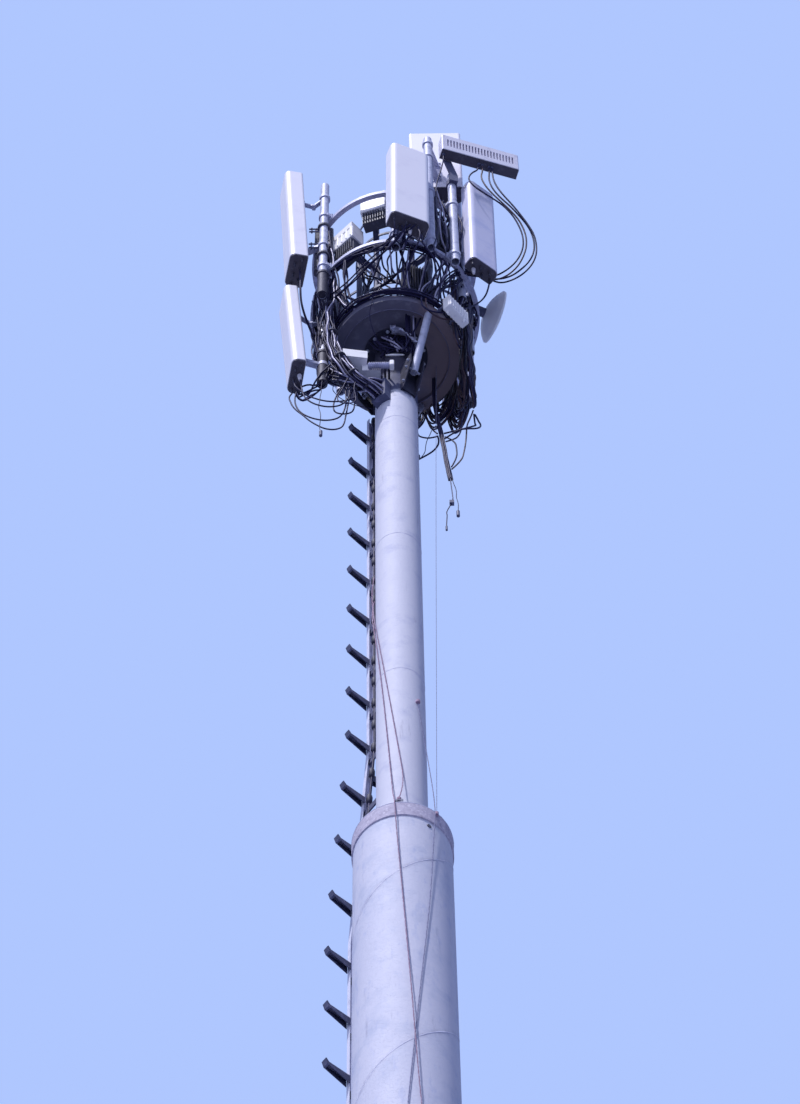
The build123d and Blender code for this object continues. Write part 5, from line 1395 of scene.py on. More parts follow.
CABLES: dict[str, tuple[Route, ...]] = {
    "cords_right_loops": (
        Route("right_loop_1", 0.014, 2.37, (
            (0.824, -0.5602, 32.67), (0.825, -0.56, 32.57), (0.83, -0.555, 32.415), (0.86, -0.545, 32.265),
            (0.91, -0.53, 32.12), (0.975, -0.505, 31.98), (1.035, -0.475, 31.84), (1.09, -0.445, 31.7),
            (1.135, -0.415, 31.555), (1.15, -0.38, 31.405), (1.14, -0.35, 31.25), (1.09, -0.315, 31.11),
            (0.995, -0.275, 31), (0.865, -0.22, 31.005), (0.785, -0.19, 31.135), (0.7, -0.19, 31.265),
            (0.565, -0.226, 31.3),
        )),
        Route("right_loop_2", 0.014, 2.22, (
            (0.8001, -0.5676, 32.67), (0.8, -0.565, 32.57), (0.79, -0.565, 32.415), (0.815, -0.545, 32.26),
            (0.875, -0.52, 32.12), (0.955, -0.495, 31.985), (1.025, -0.46, 31.855), (1.09, -0.425, 31.72),
            (1.125, -0.395, 31.57), (1.135, -0.365, 31.42), (1.11, -0.335, 31.27), (1.045, -0.305, 31.145),
            (0.93, -0.255, 31.055), (0.805, -0.205, 31.12), (0.705, -0.195, 31.23), (0.565, -0.226, 31.262),
        )),
        Route("right_loop_3", 0.014, 2.23, (
            (0.7428, -0.5854, 32.67), (0.745, -0.585, 32.57), (0.725, -0.585, 32.425), (0.75, -0.575, 32.28),
            (0.8, -0.555, 32.15), (0.87, -0.53, 32.025), (0.945, -0.5, 31.9), (1.01, -0.47, 31.775),
            (1.05, -0.44, 31.64), (1.07, -0.415, 31.495), (1.065, -0.385, 31.355), (1.035, -0.36, 31.215),
            (0.98, -0.32, 31.085), (0.875, -0.27, 31), (0.775, -0.22, 31.075), (0.695, -0.205, 31.195),
            (0.565, -0.226, 31.224),
        )),
        Route("right_loop_4", 0.014, 2.17, (
            (0.7142, -0.5944, 32.67), (0.715, -0.595, 32.57), (0.645, -0.615, 32.435), (0.615, -0.62, 32.285),
            (0.67, -0.6, 32.15), (0.785, -0.555, 32.06), (0.89, -0.515, 31.97), (0.965, -0.48, 31.84),
            (1.01, -0.45, 31.7), (1.04, -0.42, 31.555), (1.045, -0.39, 31.405), (1.015, -0.355, 31.26),
            (0.945, -0.315, 31.135), (0.825, -0.26, 31.07), (0.705, -0.215, 31.145), (0.565, -0.226, 31.186),
        )),
    ),
    "cords_left_loops": (
        Route("left_loop_1", 0.012, 1.80, (
            (-0.7902, -0.1417, 29.1494), (-0.785, -0.14, 29.095), (-0.8, -0.165, 29.005), (-0.805, -0.185, 28.91),
            (-0.795, -0.2, 28.82), (-0.775, -0.2, 28.725), (-0.74, -0.2, 28.64), (-0.695, -0.205, 28.555),
            (-0.65, -0.2, 28.47), (-0.595, -0.2, 28.39), (-0.535, -0.2, 28.32), (-0.465, -0.2, 28.295),
            (-0.405, -0.2, 28.33), (-0.385, -0.2, 28.42), (-0.38, -0.195, 28.515), (-0.37, -0.2, 28.61),
            (-0.365, -0.2, 28.7), (-0.355, -0.2, 28.795), (-0.35, -0.195, 28.89), (-0.34, -0.19, 28.985),
            (-0.2979, -0.2254, 29.0656),
        )),
        Route("left_loop_2", 0.012, 1.51, (
            (-0.7452, -0.1778, 29.1518), (-0.74, -0.175, 29.1), (-0.75, -0.19, 29.005), (-0.76, -0.195, 28.915),
            (-0.76, -0.2, 28.82), (-0.75, -0.2, 28.73), (-0.725, -0.2, 28.64), (-0.68, -0.2, 28.56),
            (-0.61, -0.2, 28.495), (-0.525, -0.2, 28.46), (-0.44, -0.2, 28.49), (-0.4, -0.2, 28.57),
            (-0.385, -0.2, 28.665), (-0.375, -0.2, 28.755), (-0.375, -0.2, 28.85), (-0.38, -0.195, 28.94),
            (-0.38, -0.195, 29.035), (-0.3381, -0.2227, 29.0916),
        )),
        Route("left_loop_3", 0.012, 1.23, (
            (-0.7284, -0.2644, 29.1518), (-0.725, -0.265, 29.1), (-0.715, -0.265, 29.015), (-0.71, -0.26, 28.93),
            (-0.7, -0.26, 28.845), (-0.685, -0.26, 28.76), (-0.645, -0.255, 28.685), (-0.59, -0.255, 28.625),
            (-0.51, -0.25, 28.595), (-0.43, -0.245, 28.62), (-0.385, -0.24, 28.69), (-0.36, -0.24, 28.77),
            (-0.35, -0.235, 28.855), (-0.35, -0.235, 28.94), (-0.355, -0.23, 29.02), (-0.3668, -0.2211, 29.109),
        )),
        Route("left_loop_4", 0.012, 1.04, (
            (-0.7734, -0.2282, 29.1494), (-0.77, -0.23, 29.095), (-0.76, -0.235, 29.015), (-0.725, -0.235, 28.94),
            (-0.675, -0.225, 28.87), (-0.615, -0.225, 28.815), (-0.545, -0.225, 28.765), (-0.47, -0.225, 28.745),
            (-0.385, -0.225, 28.755), (-0.325, -0.22, 28.805), (-0.3, -0.21, 28.885), (-0.3, -0.2, 28.965),
            (-0.32, -0.205, 29.045), (-0.355, -0.1961, 29.1253),
        )),
        Route("left_loop_5", 0.012, 1.04, (
            (-0.37, -0.1901, 29.1486), (-0.41, -0.205, 29.05), (-0.445, -0.195, 28.94), (-0.47, -0.185, 28.81),
            (-0.47, -0.18, 28.7), (-0.45, -0.18, 28.64), (-0.39, -0.18, 28.615), (-0.335, -0.18, 28.64),
            (-0.315, -0.185, 28.7), (-0.31, -0.2, 28.795), (-0.32, -0.225, 28.9), (-0.3068, -0.2743, 29.0175),
        )),
        Route("left_loop_6", 0.01, 0.90, (
            (-0.3523, -0.282, 29.0843), (-0.385, -0.27, 28.98), (-0.405, -0.26, 28.88), (-0.435, -0.26, 28.775),
            (-0.44, -0.26, 28.7), (-0.415, -0.26, 28.65), (-0.36, -0.255, 28.64), (-0.31, -0.255, 28.665),
            (-0.3, -0.255, 28.72), (-0.305, -0.265, 28.8), (-0.32, -0.275, 28.885), (-0.2996, -0.2821, 29.0086),
        )),
        Route("left_conduit", 0.018, 0.96, (
            (-0.7462, -0.4273, 30.8459), (-0.745, -0.425, 30.765), (-0.74, -0.425, 30.64), (-0.74, -0.405, 30.51),
            (-0.735, -0.36, 30.385), (-0.715, -0.32, 30.265), (-0.68, -0.26, 30.155), (-0.64, -0.2, 30.05),
            (-0.6125, -0.1538, 29.9599),
        )),
    ),
    "cords_lower_right": (
        Route("low_loop_1", 0.012, 0.40, (
            (0.147, 0.114, 29.0395), (0.15, 0.105, 28.97), (0.155, 0.1, 28.89), (0.165, 0.1, 28.815),
            (0.2, 0.095, 28.775), (0.255, 0.095, 28.76), (0.3125, 0.089, 28.7879),
        )),
        Route("low_loop_2", 0.014, 0.33, (
            (0.158, 0.172, 28.552), (0.235, 0.14, 28.57), (0.295, 0.105, 28.6), (0.32, 0.085, 28.68),
            (0.3092, 0.0876, 28.7649),
        )),
        Route("low_loop_4", 0.012, 0.74, (
            (0.2722, 0.173, 29.5602), (0.245, 0.18, 29.46), (0.225, 0.18, 29.345), (0.24, 0.17, 29.22),
            (0.265, 0.16, 29.09), (0.285, 0.135, 28.965), (0.3067, 0.0959, 28.845),
        )),
        Route("low_loop_5", 0.014, 0.78, (
            (0.3589, 0.0608, 28.675), (0.46, -0.01, 28.685), (0.54, -0.005, 28.71), (0.595, 0.02, 28.76),
            (0.625, 0.045, 28.835), (0.635, 0.07, 28.915), (0.635, 0.09, 28.995), (0.625, 0.11, 29.075),
            (0.615, 0.12, 29.16), (0.6, 0.1247, 29.2401),
        )),
        Route("low_loop_6", 0.014, 0.64, (
            (0.3547, 0.0772, 28.8056), (0.485, 0.05, 28.815), (0.55, 0.055, 28.865), (0.585, 0.08, 28.94),
            (0.6, 0.11, 29.015), (0.6, 0.14, 29.09), (0.595, 0.16, 29.17), (0.5918, 0.1311, 29.2657),
        )),
        Route("low_loop_7", 0.012, 0.74, (
            (0.3647, 0.0679, 28.6394), (0.435, 0.06, 28.66), (0.47, 0.065, 28.75), (0.485, 0.075, 28.855),
            (0.49, 0.09, 28.96), (0.495, 0.095, 29.065), (0.505, 0.1, 29.17), (0.5291, 0.1107, 29.317),
        )),
        Route("low_loop_8", 0.012, 1.07, (
            (0.584, 0.0566, 29.172), (0.565, 0.06, 29.065), (0.53, 0.08, 28.955), (0.525, 0.075, 28.79),
            (0.515, 0.08, 28.625), (0.5, 0.07, 28.46), (0.48, 0.065, 28.295), (0.4028, 0.0567, 28.132),
        )),
        Route("low_loop_10", 0.012, 0.60, (
            (0.3642, 0.0746, 28.7417), (0.435, 0.045, 28.6), (0.445, 0.04, 28.455), (0.445, 0.05, 28.31),
            (0.4011, 0.0529, 28.163),
        )),
    ),
    "cords_thin_wires": (
        Route("left_wire", 0.006, 0.48, (
            (-0.4493, -0.1904, 29.2163), (-0.49, -0.14, 29.185), (-0.46, -0.12, 29.125), (-0.42, -0.105, 29.07),
            (-0.365, -0.085, 29.035), (-0.305, -0.06, 29.03), (-0.24, -0.05, 29.03), (-0.1593, -0.031, 29.02),
        )),
        Route("left_pendant", 0.006, 0.97, (
            (-0.5579, -0.2246, 29.1497), (-0.56, -0.225, 29.07), (-0.565, -0.23, 28.99), (-0.56, -0.235, 28.91),
            (-0.57, -0.235, 28.83), (-0.57, -0.24, 28.75), (-0.58, -0.225, 28.67), (-0.575, -0.235, 28.59),
            (-0.565, -0.25, 28.51), (-0.56, -0.25, 28.43), (-0.565, -0.23, 28.35), (-0.57, -0.22, 28.27),
            (-0.557, -0.24, 28.192),
        )),
        Route("low_wire", 0.006, 0.53, (
            (0.2993, 0.1, 29), (0.275, 0.085, 28.92), (0.26, 0.075, 28.84), (0.25, 0.065, 28.76),
            (0.225, 0.075, 28.68), (0.215, 0.085, 28.6), (0.21, 0.11, 28.53), (0.18, 0.13, 28.5),
        )),
        Route("tail_wire", 0.008, 0.38, (
            (0.388, 0.05, 27.528), (0.37, 0.05, 27.47), (0.35, 0.055, 27.4), (0.355, 0.045, 27.335),
            (0.35, 0.05, 27.245), (0.347, 0.05, 27.158),
        )),
        Route("right_pendant", 0.006, 0.53, (
            (0.403, 0.049, 27.9396), (0.41, 0.05, 27.87), (0.425, 0.055, 27.805), (0.43, 0.06, 27.73),
            (0.425, 0.055, 27.65), (0.435, 0.05, 27.57), (0.44, 0.045, 27.49), (0.434, 0.05, 27.409),
        )),
        Route("thin_wire", 0.006, 0.60, (
            (-0.1733, -0.4942, 30.1193), (-0.17, -0.485, 30.05), (-0.195, -0.44, 29.995), (-0.195, -0.395, 29.93),
            (-0.18, -0.355, 29.865), (-0.16, -0.315, 29.805), (-0.13, -0.265, 29.755), (-0.11, -0.2, 29.72),
            (-0.082, -0.146, 29.68),
        )),
    ),
    "cords_front": (
        Route("front_jumper_1", 0.012, 0.93, (
            (0.0063, -0.9249, 30.6826), (0.005, -0.925, 30.62), (0.01, -0.855, 30.52), (-0.065, -0.775, 30.475),
            (-0.16, -0.7, 30.45), (-0.25, -0.63, 30.405), (-0.335, -0.555, 30.355), (-0.425, -0.475, 30.345),
            (-0.4972, -0.3848, 30.442),
        )),
        Route("front_jumper_2", 0.012, 0.89, (
            (0.0337, -0.8589, 30.6833), (0.035, -0.86, 30.62), (0.025, -0.815, 30.52), (-0.05, -0.74, 30.485),
            (-0.14, -0.675, 30.465), (-0.225, -0.615, 30.42), (-0.305, -0.555, 30.36), (-0.38, -0.49, 30.31),
            (-0.4946, -0.3764, 30.3522),
        )),
        Route("front_jumper_3", 0.012, 0.91, (
            (0.0993, -0.8874, 30.6826), (0.1, -0.885, 30.62), (0.045, -0.82, 30.53), (-0.04, -0.745, 30.495),
            (-0.135, -0.67, 30.465), (-0.225, -0.6, 30.42), (-0.31, -0.52, 30.375), (-0.405, -0.45, 30.345),
            (-0.4927, -0.3721, 30.3393),
        )),
        Route("front_jumper_4", 0.012, 0.65, (
            (0.1267, -0.8213, 30.6833), (0.125, -0.82, 30.62), (0.105, -0.805, 30.525), (0.075, -0.725, 30.47),
            (0.045, -0.635, 30.43), (0.025, -0.57, 30.36), (0.02, -0.56, 30.27), (0.012, -0.527, 30.1705),
        )),
        Route("front_jumper_5", 0.014, 0.69, (
            (0.1923, -0.8498, 30.6826), (0.19, -0.85, 30.62), (0.21, -0.865, 30.51), (0.19, -0.825, 30.41),
            (0.145, -0.74, 30.35), (0.1, -0.645, 30.315), (0.085, -0.6, 30.245), (0.055, -0.524, 30.1705),
        )),
        Route("front_jumper_6", 0.014, 0.73, (
            (0.2197, -0.7837, 30.6833), (0.22, -0.785, 30.62), (0.22, -0.78, 30.515), (0.28, -0.725, 30.44),
            (0.345, -0.65, 30.395), (0.365, -0.555, 30.345), (0.35, -0.465, 30.285), (0.3341, -0.3959, 30.1745),
        )),
        Route("unit_lead", 0.012, 2.72, (
            (0.423, -0.685, 32.67), (0.42, -0.68, 32.57), (0.4, -0.655, 32.44), (0.38, -0.645, 32.315),
            (0.36, -0.64, 32.185), (0.35, -0.65, 32.015), (0.35, -0.665, 31.845), (0.345, -0.69, 31.675),
            (0.345, -0.71, 31.505), (0.345, -0.715, 31.33), (0.35, -0.725, 31.16), (0.355, -0.73, 30.99),
            (0.345, -0.725, 30.83), (0.33, -0.72, 30.71), (0.31, -0.715, 30.61), (0.31, -0.705, 30.52),
            (0.34, -0.69, 30.45), (0.4, -0.665, 30.41), (0.43, -0.605, 30.36), (0.435, -0.525, 30.31),
            (0.415, -0.44, 30.275), (0.3935, -0.352, 30.1741),
        )),
    ),
    "cords_inner": (
        Route("cross_1", 0.014, 1.29, (
            (0.206, -0.489, 30.112), (0.205, -0.485, 30.035), (0.215, -0.475, 29.96), (0.26, -0.46, 29.91),
            (0.335, -0.44, 29.91), (0.395, -0.42, 29.96), (0.45, -0.39, 30.05), (0.51, -0.355, 30.155),
            (0.58, -0.33, 30.265), (0.65, -0.31, 30.385), (0.71, -0.31, 30.515), (0.74, -0.33, 30.64),
            (0.755, -0.344, 30.774),
        )),
        Route("cross_2", 0.014, 0.78, (
            (0.24, -0.474, 30.112), (0.24, -0.465, 30.03), (0.25, -0.45, 29.95), (0.305, -0.425, 29.89),
            (0.38, -0.4, 29.87), (0.44, -0.38, 29.915), (0.5, -0.345, 29.985), (0.55, -0.3, 30.065),
            (0.58, -0.245, 30.14), (0.583, -0.1947, 30.2),
        )),
        Route("inner_loop", 0.014, 1.05, (
            (-0.265, -0.166, 31.8796), (-0.27, -0.165, 31.78), (-0.265, -0.16, 31.67), (-0.27, -0.155, 31.55),
            (-0.27, -0.16, 31.425), (-0.25, -0.165, 31.305), (-0.16, -0.175, 31.225), (-0.045, -0.185, 31.25),
            (0.045, -0.195, 31.335), (0.1196, -0.2346, 31.43),
        )),
    ),
}
ROPES: tuple[Route, ...] = (
    Route("rope_1", 0.012, 4.17, (
        (-0.166, 0.245, 26.83), (-0.186, 0.14, 26.42), (-0.186, 0.04, 25.95), (-0.166, -0.066, 25.435),
        (-0.118, -0.127, 24.809), (-0.062, -0.16, 24.096), (-0.014, -0.171, 23.496), (0.02, -0.172, 23.08),
        (-0.018, -0.276, 22.722),
    )),
    Route("rope_a", 0.012, 7.62, (
        (-0.166, 0.245, 26.44), (-0.186, 0.14, 26.05), (-0.184, 0.02, 25.65), (-0.16, -0.078, 25.18),
        (-0.112, -0.131, 24.3), (-0.062, -0.161, 23.14), (-0.054, -0.19, 22.9), (-0.047, -0.331, 22.655),
        (-0.036, -0.323, 22.3), (-0.017, -0.315, 21.866), (0.015, -0.316, 21.1), (0.04, -0.325, 20.48),
        (0.054, -0.328, 20.06), (0.072, -0.315, 19.6), (0.098, -0.3, 19.1), (0.108, -0.296, 18.9),
    )),
    Route("rope_b", 0.01, 5.33, (
        (0.113, -0.13, 24.2), (0.135, -0.109, 23.922), (0.168, -0.07, 23.56), (0.206, -0.252, 22.64),
        (0.192, -0.26, 22.35), (0.162, -0.271, 21.632), (0.134, -0.285, 21.183), (0.104, -0.297, 20.78),
        (0.056, -0.311, 20.083), (0.008, -0.315, 19.38), (-0.024, -0.314, 18.9),
    )),
    Route("rope_c", 0.006, 7.49, (
        (0.316, 0.08, 30.08), (0.287, -0.004, 28.2), (0.248, -0.124, 25.4), (0.211, -0.243, 22.6),
    )),
)


@dataclass
class LooseCords:
    """The cables that can be followed from end to end."""

    routes: dict[str, tuple[Route, ...]]
    browns: tuple[str, ...] = ("low_loop_4", "low_loop_8", "cross_2", "right_loop_3")

    def build(self) -> None:
        for node, group in self.routes.items():
            for route in group:
                piece = curve(route.name, [route.points], steps=7)
                piece.data.bevel_depth = route.diameter / 2
                piece.data.bevel_resolution = 2
                piece.data.use_fill_caps = True
                settle(piece, BROWN_JACKET if route.name in self.browns else CABLE_JACKET, node)


@dataclass
class Ropes:
    """The twisted ropes down the mast."""

    shop: Workshop
    node: str
    routes: tuple[Route, ...]
    greys: tuple[str, ...] = ("rope_b", "rope_c")
    strands: int = 3
    strand_share: float = 0.19
    turns: float = 11.0

    def build(self) -> None:
        dress(RED_FIBRE, "rope_knots")
        for route in self.routes:
            line = curve(route.name + "_line", [route.points], steps=7)
            path = centreline(line)
            strand = route.diameter * self.strand_share
            sizes = {"Strands": self.strands, "Spread": strand * 1.2, "Thickness": strand, "Sides": 6}
            sizes |= {"Twist": self.turns, "Step": 0.014}
            finish = GREY_FIBRE if route.name in self.greys else RED_FIBRE
            piece = self.shop.lay(route.name, line, finish, sizes, self.node)


@dataclass(frozen=True)
class Curtain:
    """One curtain of cables that hangs from the lower hoop: its arc, radii and depth."""

    radius: float
    top_r: float
    first: float
    last: float
    low: float
    strands: int
    nest: float = 0.8
    bend: float = 0.4
    turn_in: float = 0.012
    turn_drop: float = 0.12

    def loop(self, index: int, top_z: float, head_z: float, chance: Random) -> Line:
        """Return one loop of the curtain, which lies inside the one before it.

        Args:
            index: The loop's number.
            top_z: The height of its ends.
            head_z: The height that the curtain's depth is measured from.
            chance: What makes it differ from the others.

        Returns:
            The points of the loop.
        """
        floor = head_z + self.low
        inset = index / self.strands
        middle = (self.first + self.last) / 2 + chance.uniform(-3, 3)
        left = self.first + (middle - self.first) * inset * self.nest + chance.uniform(-1.5, 1.5)
        right = self.last - (self.last - middle) * inset * self.nest + chance.uniform(-1.5, 1.5)
        low = floor + (top_z - floor) * inset * chance.uniform(0.15, 0.55)
        out = self.radius - 0.03 * chance.random()
        spots = (
            (self.top_r, left, top_z),
            (self.top_r - self.turn_in, left, top_z - self.turn_drop),
            (out, left + chance.uniform(-2, 2), low + 0.30),
            (out, left + (middle - left) * self.bend, low + 0.03),
            (out, right - (right - middle) * self.bend, low),
            (out, right + chance.uniform(-2, 2), low + 0.33),
            (self.top_r - self.turn_in, right, top_z - self.turn_drop),
            (self.top_r, right, top_z),
        )
        return [tuple(polar(*spot)) for spot in spots]


CURTAINS = (
    Curtain(0.607, 0.6147, -16, 13, -0.87, 9),
    Curtain(0.556, 0.556, -6, 24.198, -0.71, 8),
    Curtain(0.607, 0.6147, 22, 47, -0.62, 8),
    Curtain(0.556, 0.556, 29.802, 66, -0.34, 8),
    Curtain(0.607, 0.6147, 66, 92, -0.14, 6),
    Curtain(0.556, 0.556, -35.802, -16, -0.28, 7),
)
FEEDERS = (
    ((-0.601, -0.119, 30.86), (-0.622, -0.125, 30.3), (-0.604, -0.122, 29.83), (-0.516, -0.116, 29.44),
     (-0.408, -0.212, 29.18), (-0.29, -0.238, 29.08), (-0.196, -0.216, 29.06), (-0.123, -0.158, 29.07)),
    ((-0.5, -0.375, 30.814), (-0.512, -0.352, 30.26), (-0.5, -0.335, 29.76), (-0.43, -0.31, 29.34),
     (-0.32, -0.296, 29.06), (-0.215, -0.262, 28.97), (-0.123, -0.158, 28.99)),
    ((-0.604, 0.102, 30.86), (-0.61, 0.06, 30.3), (-0.58, 0.005, 29.83), (-0.485, -0.06, 29.48),
     (-0.37, -0.13, 29.275), (-0.275, -0.172, 29.165), (-0.196, -0.19, 29.14), (-0.123, -0.158, 29.15)),
)
TAIL = (
    (0.302, 0.196, 30.0785), (0.296, 0.17, 29.56), (0.313, 0.12, 29.201), (0.336, 0.075, 28.757),
    (0.363, 0.06, 28.334), (0.389, 0.05, 27.939),
)


@dataclass(frozen=True)
class Tangle:
    """Leads that run from one place to another: radius, azimuth, height and their spreads."""

    seed: int
    count: int
    start: tuple[float, float, float, float, float, float]
    end: tuple[float, float, float, float, float, float]
    sag: float
    loose: float

    def spot(self, place: tuple[float, ...], chance: Random) -> Vector:
        """Return one point within a place's spread."""
        return polar(*(middle + spread * chance.uniform(-1, 1) for middle, spread in zip(place[:3], place[3:])))

    def lead(self, chance: Random) -> Line:
        """Return the points of one lead.

        Args:
            chance: The source of the random draws.

        Returns:
            The points, from its start to its end.
        """
        start = self.spot(self.start, chance)
        end = self.spot(self.end, chance)
        run = [tuple(start)]
        for share in (0.25, 0.5, 0.75):
            spot = start.lerp(end, share)
            spot.z -= self.sag * 4 * share * (1 - share) * chance.uniform(0.5, 1.3)
            spot += Vector([chance.uniform(-1, 1) * self.loose for _ in range(3)])
            run.append(tuple(spot))
        return [*run, tuple(end)]


TANGLES = (
    Tangle(21, 9, (0.83, 277, 30.66, 0.05, 8, 0.01), (0.645, 262, 30.80, 0.01, 26, 0.02), 0.14, 0.03),
    Tangle(22, 9, (0.645, 268, 30.80, 0.01, 26, 0.02), (0.33, 265, 30.84, 0.02, 60, 0.03), 0.16, 0.04),
    Tangle(23, 13, (0.645, 222, 30.80, 0.01, 14, 0.02), (0.505, 218, 30.14, 0.01, 16, 0.02), 0.0, 0.035),
    Tangle(24, 14, (0.645, 312, 30.80, 0.01, 16, 0.02), (0.505, 310, 30.14, 0.01, 22, 0.02), 0.0, 0.04),
    Tangle(25, 12, (0.70, 305, 31.95, 0.02, 10, 0.10), (0.66, 312, 30.85, 0.02, 14, 0.03), 0.0, 0.05),
    Tangle(26, 9, (0.66, 318, 31.90, 0.02, 10, 0.04), (0.34, 310, 31.90, 0.02, 20, 0.02), 0.30, 0.05),
    Tangle(27, 10, (0.70, 219, 31.50, 0.02, 4, 0.25), (0.66, 214, 30.82, 0.02, 8, 0.03), 0.0, 0.03),
    Tangle(28, 14, (0.66, 205, 30.80, 0.02, 10, 0.03), (0.60, 196, 29.80, 0.03, 8, 0.10), 0.0, 0.05),
    Tangle(29, 14, (0.60, 203, 29.95, 0.03, 6, 0.15), (0.44, 214, 29.22, 0.04, 8, 0.05), 0.10, 0.04),
    Tangle(30, 7, (0.31, 230, 31.87, 0.01, 50, 0.02), (0.31, 235, 30.86, 0.02, 50, 0.02), 0.0, 0.04),
    Tangle(31, 9, (0.31, 285, 30.84, 0.01, 50, 0.02), (0.40, 285, 30.12, 0.06, 50, 0.02), 0.0, 0.04),
    Tangle(32, 12, (0.60, 340, 30.80, 0.02, 10, 0.02), (0.48, 335, 30.14, 0.02, 14, 0.02), 0.0, 0.04),
    Tangle(33, 9, (0.64, 350, 31.10, 0.02, 8, 0.10), (0.62, 8, 30.82, 0.02, 10, 0.02), 0.25, 0.035),
    Tangle(34, 10, (0.19, 268, 30.03, 0.02, 34, 0.02), (0.19, 262, 29.74, 0.02, 36, 0.03), 0.0, 0.03),
    Tangle(35, 7, (0.24, 240, 29.96, 0.02, 20, 0.04), (0.20, 300, 29.90, 0.02, 12, 0.05), 0.10, 0.025),
    Tangle(36, 5, (0.76, 188, 29.15, 0.02, 4, 0.01), (0.52, 200, 29.36, 0.04, 8, 0.06), 0.22, 0.04),
    Tangle(37, 8, (0.645, 300, 30.80, 0.01, 30, 0.02), (0.22, 300, 29.70, 0.02, 14, 0.05), 0.05, 0.04),
)


@dataclass
class TiedHarness:
    """The tied bundles: the curtains at the right, the feeders at the left, the ring runs and the tail."""

    shop: Workshop
    top_z: float = 30.86
    head_z: float = 30.04
    cable_r: float = 0.007
    twist: float = 0.25
    wave_size: float = 0.35
    highlight_share: float = 0.2
    highlight_seed: int = 100
    arc_steps: int = 12
    hoop_run: tuple[float, float, float, float] = (0.645, 30.7897, 224, 300)
    rim_run: tuple[float, float, float, float] = (0.5265, 30.145, 208, 318)

    def build(self) -> None:
        """Make every bundle of separate strands, and the ties round them."""
        rings = [self.arc(*self.hoop_run), self.arc(*self.rim_run)]
        # Pale leads among the dark tangle: painted highlights for the glints on the dark cables.
        highlight_leads = self.tangle_lines(self.highlight_seed, self.highlight_share)
        dark, brown, pale = CABLE_JACKET, BROWN_JACKET, HIGHLIGHT_JACKET
        for name, node, finish, lines, strands, spread, waviness in (
            ("curtain_cables", "harness_right", brown, self.curtain_lines(3), 1, 0.0, 0.016),
            ("curtain_leads", "harness_right", dark, self.curtain_lines(7), 1, 0.0, 0.02),
            ("feeder_cables", "harness_left", dark, FEEDERS, 9, 0.036, 0.02),
            # The pale feeder leads are painted highlights on the dark feeder bundle.
            ("feeder_leads", "harness_left", pale, FEEDERS, 4, 0.052, 0.024),
            ("ring_cables", "harness_rings", dark, rings, 8, 0.026, 0.010),
            ("tail_cables", "cable_tail", dark, [TAIL], 6, 0.015, 0.003),
            ("cage_tangle", "harness_rings", dark, self.tangle_lines(0, 1.0), 1, 0.0, 0.009),
            ("pale_tangle", "harness_rings", pale, highlight_leads, 1, 0.0, 0.009),
        ):
            sizes = {"Strands": strands, "Spread": spread, "Thickness": self.cable_r, "Waviness": waviness}
            sizes |= {"Twist": self.twist if strands > 1 else 0.0, "Wave Size": self.wave_size}
            self.shop.lay(name, curve(name + "_lines", lines), finish, sizes, node)
        self.ties()

    def arc(self, radius: float, z: float, first: float, last: float) -> Line:
        """Return the points of a level arc."""
        steps = self.arc_steps
        return [tuple(polar(radius, first + (last - first) * i / steps, z)) for i in range(steps + 1)]

    def curtain_lines(self, seed: int) -> list[Line]:
        """Return the loops of all the curtains.

        Args:
            seed: The start of their small differences.

        Returns:
            The points of each loop.
        """
        chance = Random(seed)
        return [
            curtain.loop(index, self.top_z, self.head_z, chance)
            for curtain in CURTAINS
            for index in range(curtain.strands)
        ]

    def tangle_lines(self, seed: int, share: float) -> list[Line]:
        """Return the leads of one tone that run between the pipes, the hoops and the tray.

        Args:
            seed: What is added to each tangle's own seed.
            share: How many of its leads have this tone.

        Returns:
            The points of every lead.
        """
        found = []
        for tangle in TANGLES:
            chance = Random(tangle.seed + seed)
            found += [tangle.lead(chance) for _ in range(round(tangle.count * share))]
        return found

    def ties(self) -> None:
        """Add the dark ties round the bundles."""
        mesh = bmesh.new()
        for run in FEEDERS:
            for before, spot, after in zip(run, run[1:], run[2:]):
                before, spot, after = Vector(before), Vector(spot), Vector(after)
                turn = (after - before).to_track_quat("Z", "Y").to_matrix().to_4x4()
                place = move(spot * 0.5 + (before + after) * 0.25) @ turn
                lathe(mesh, [(0.043, -0.008), (0.046, -0.006), (0.046, 0.006), (0.043, 0.008)], 18, place)
        settle(mesh_object("bundle_ties", mesh, True), DARK_BOOT)


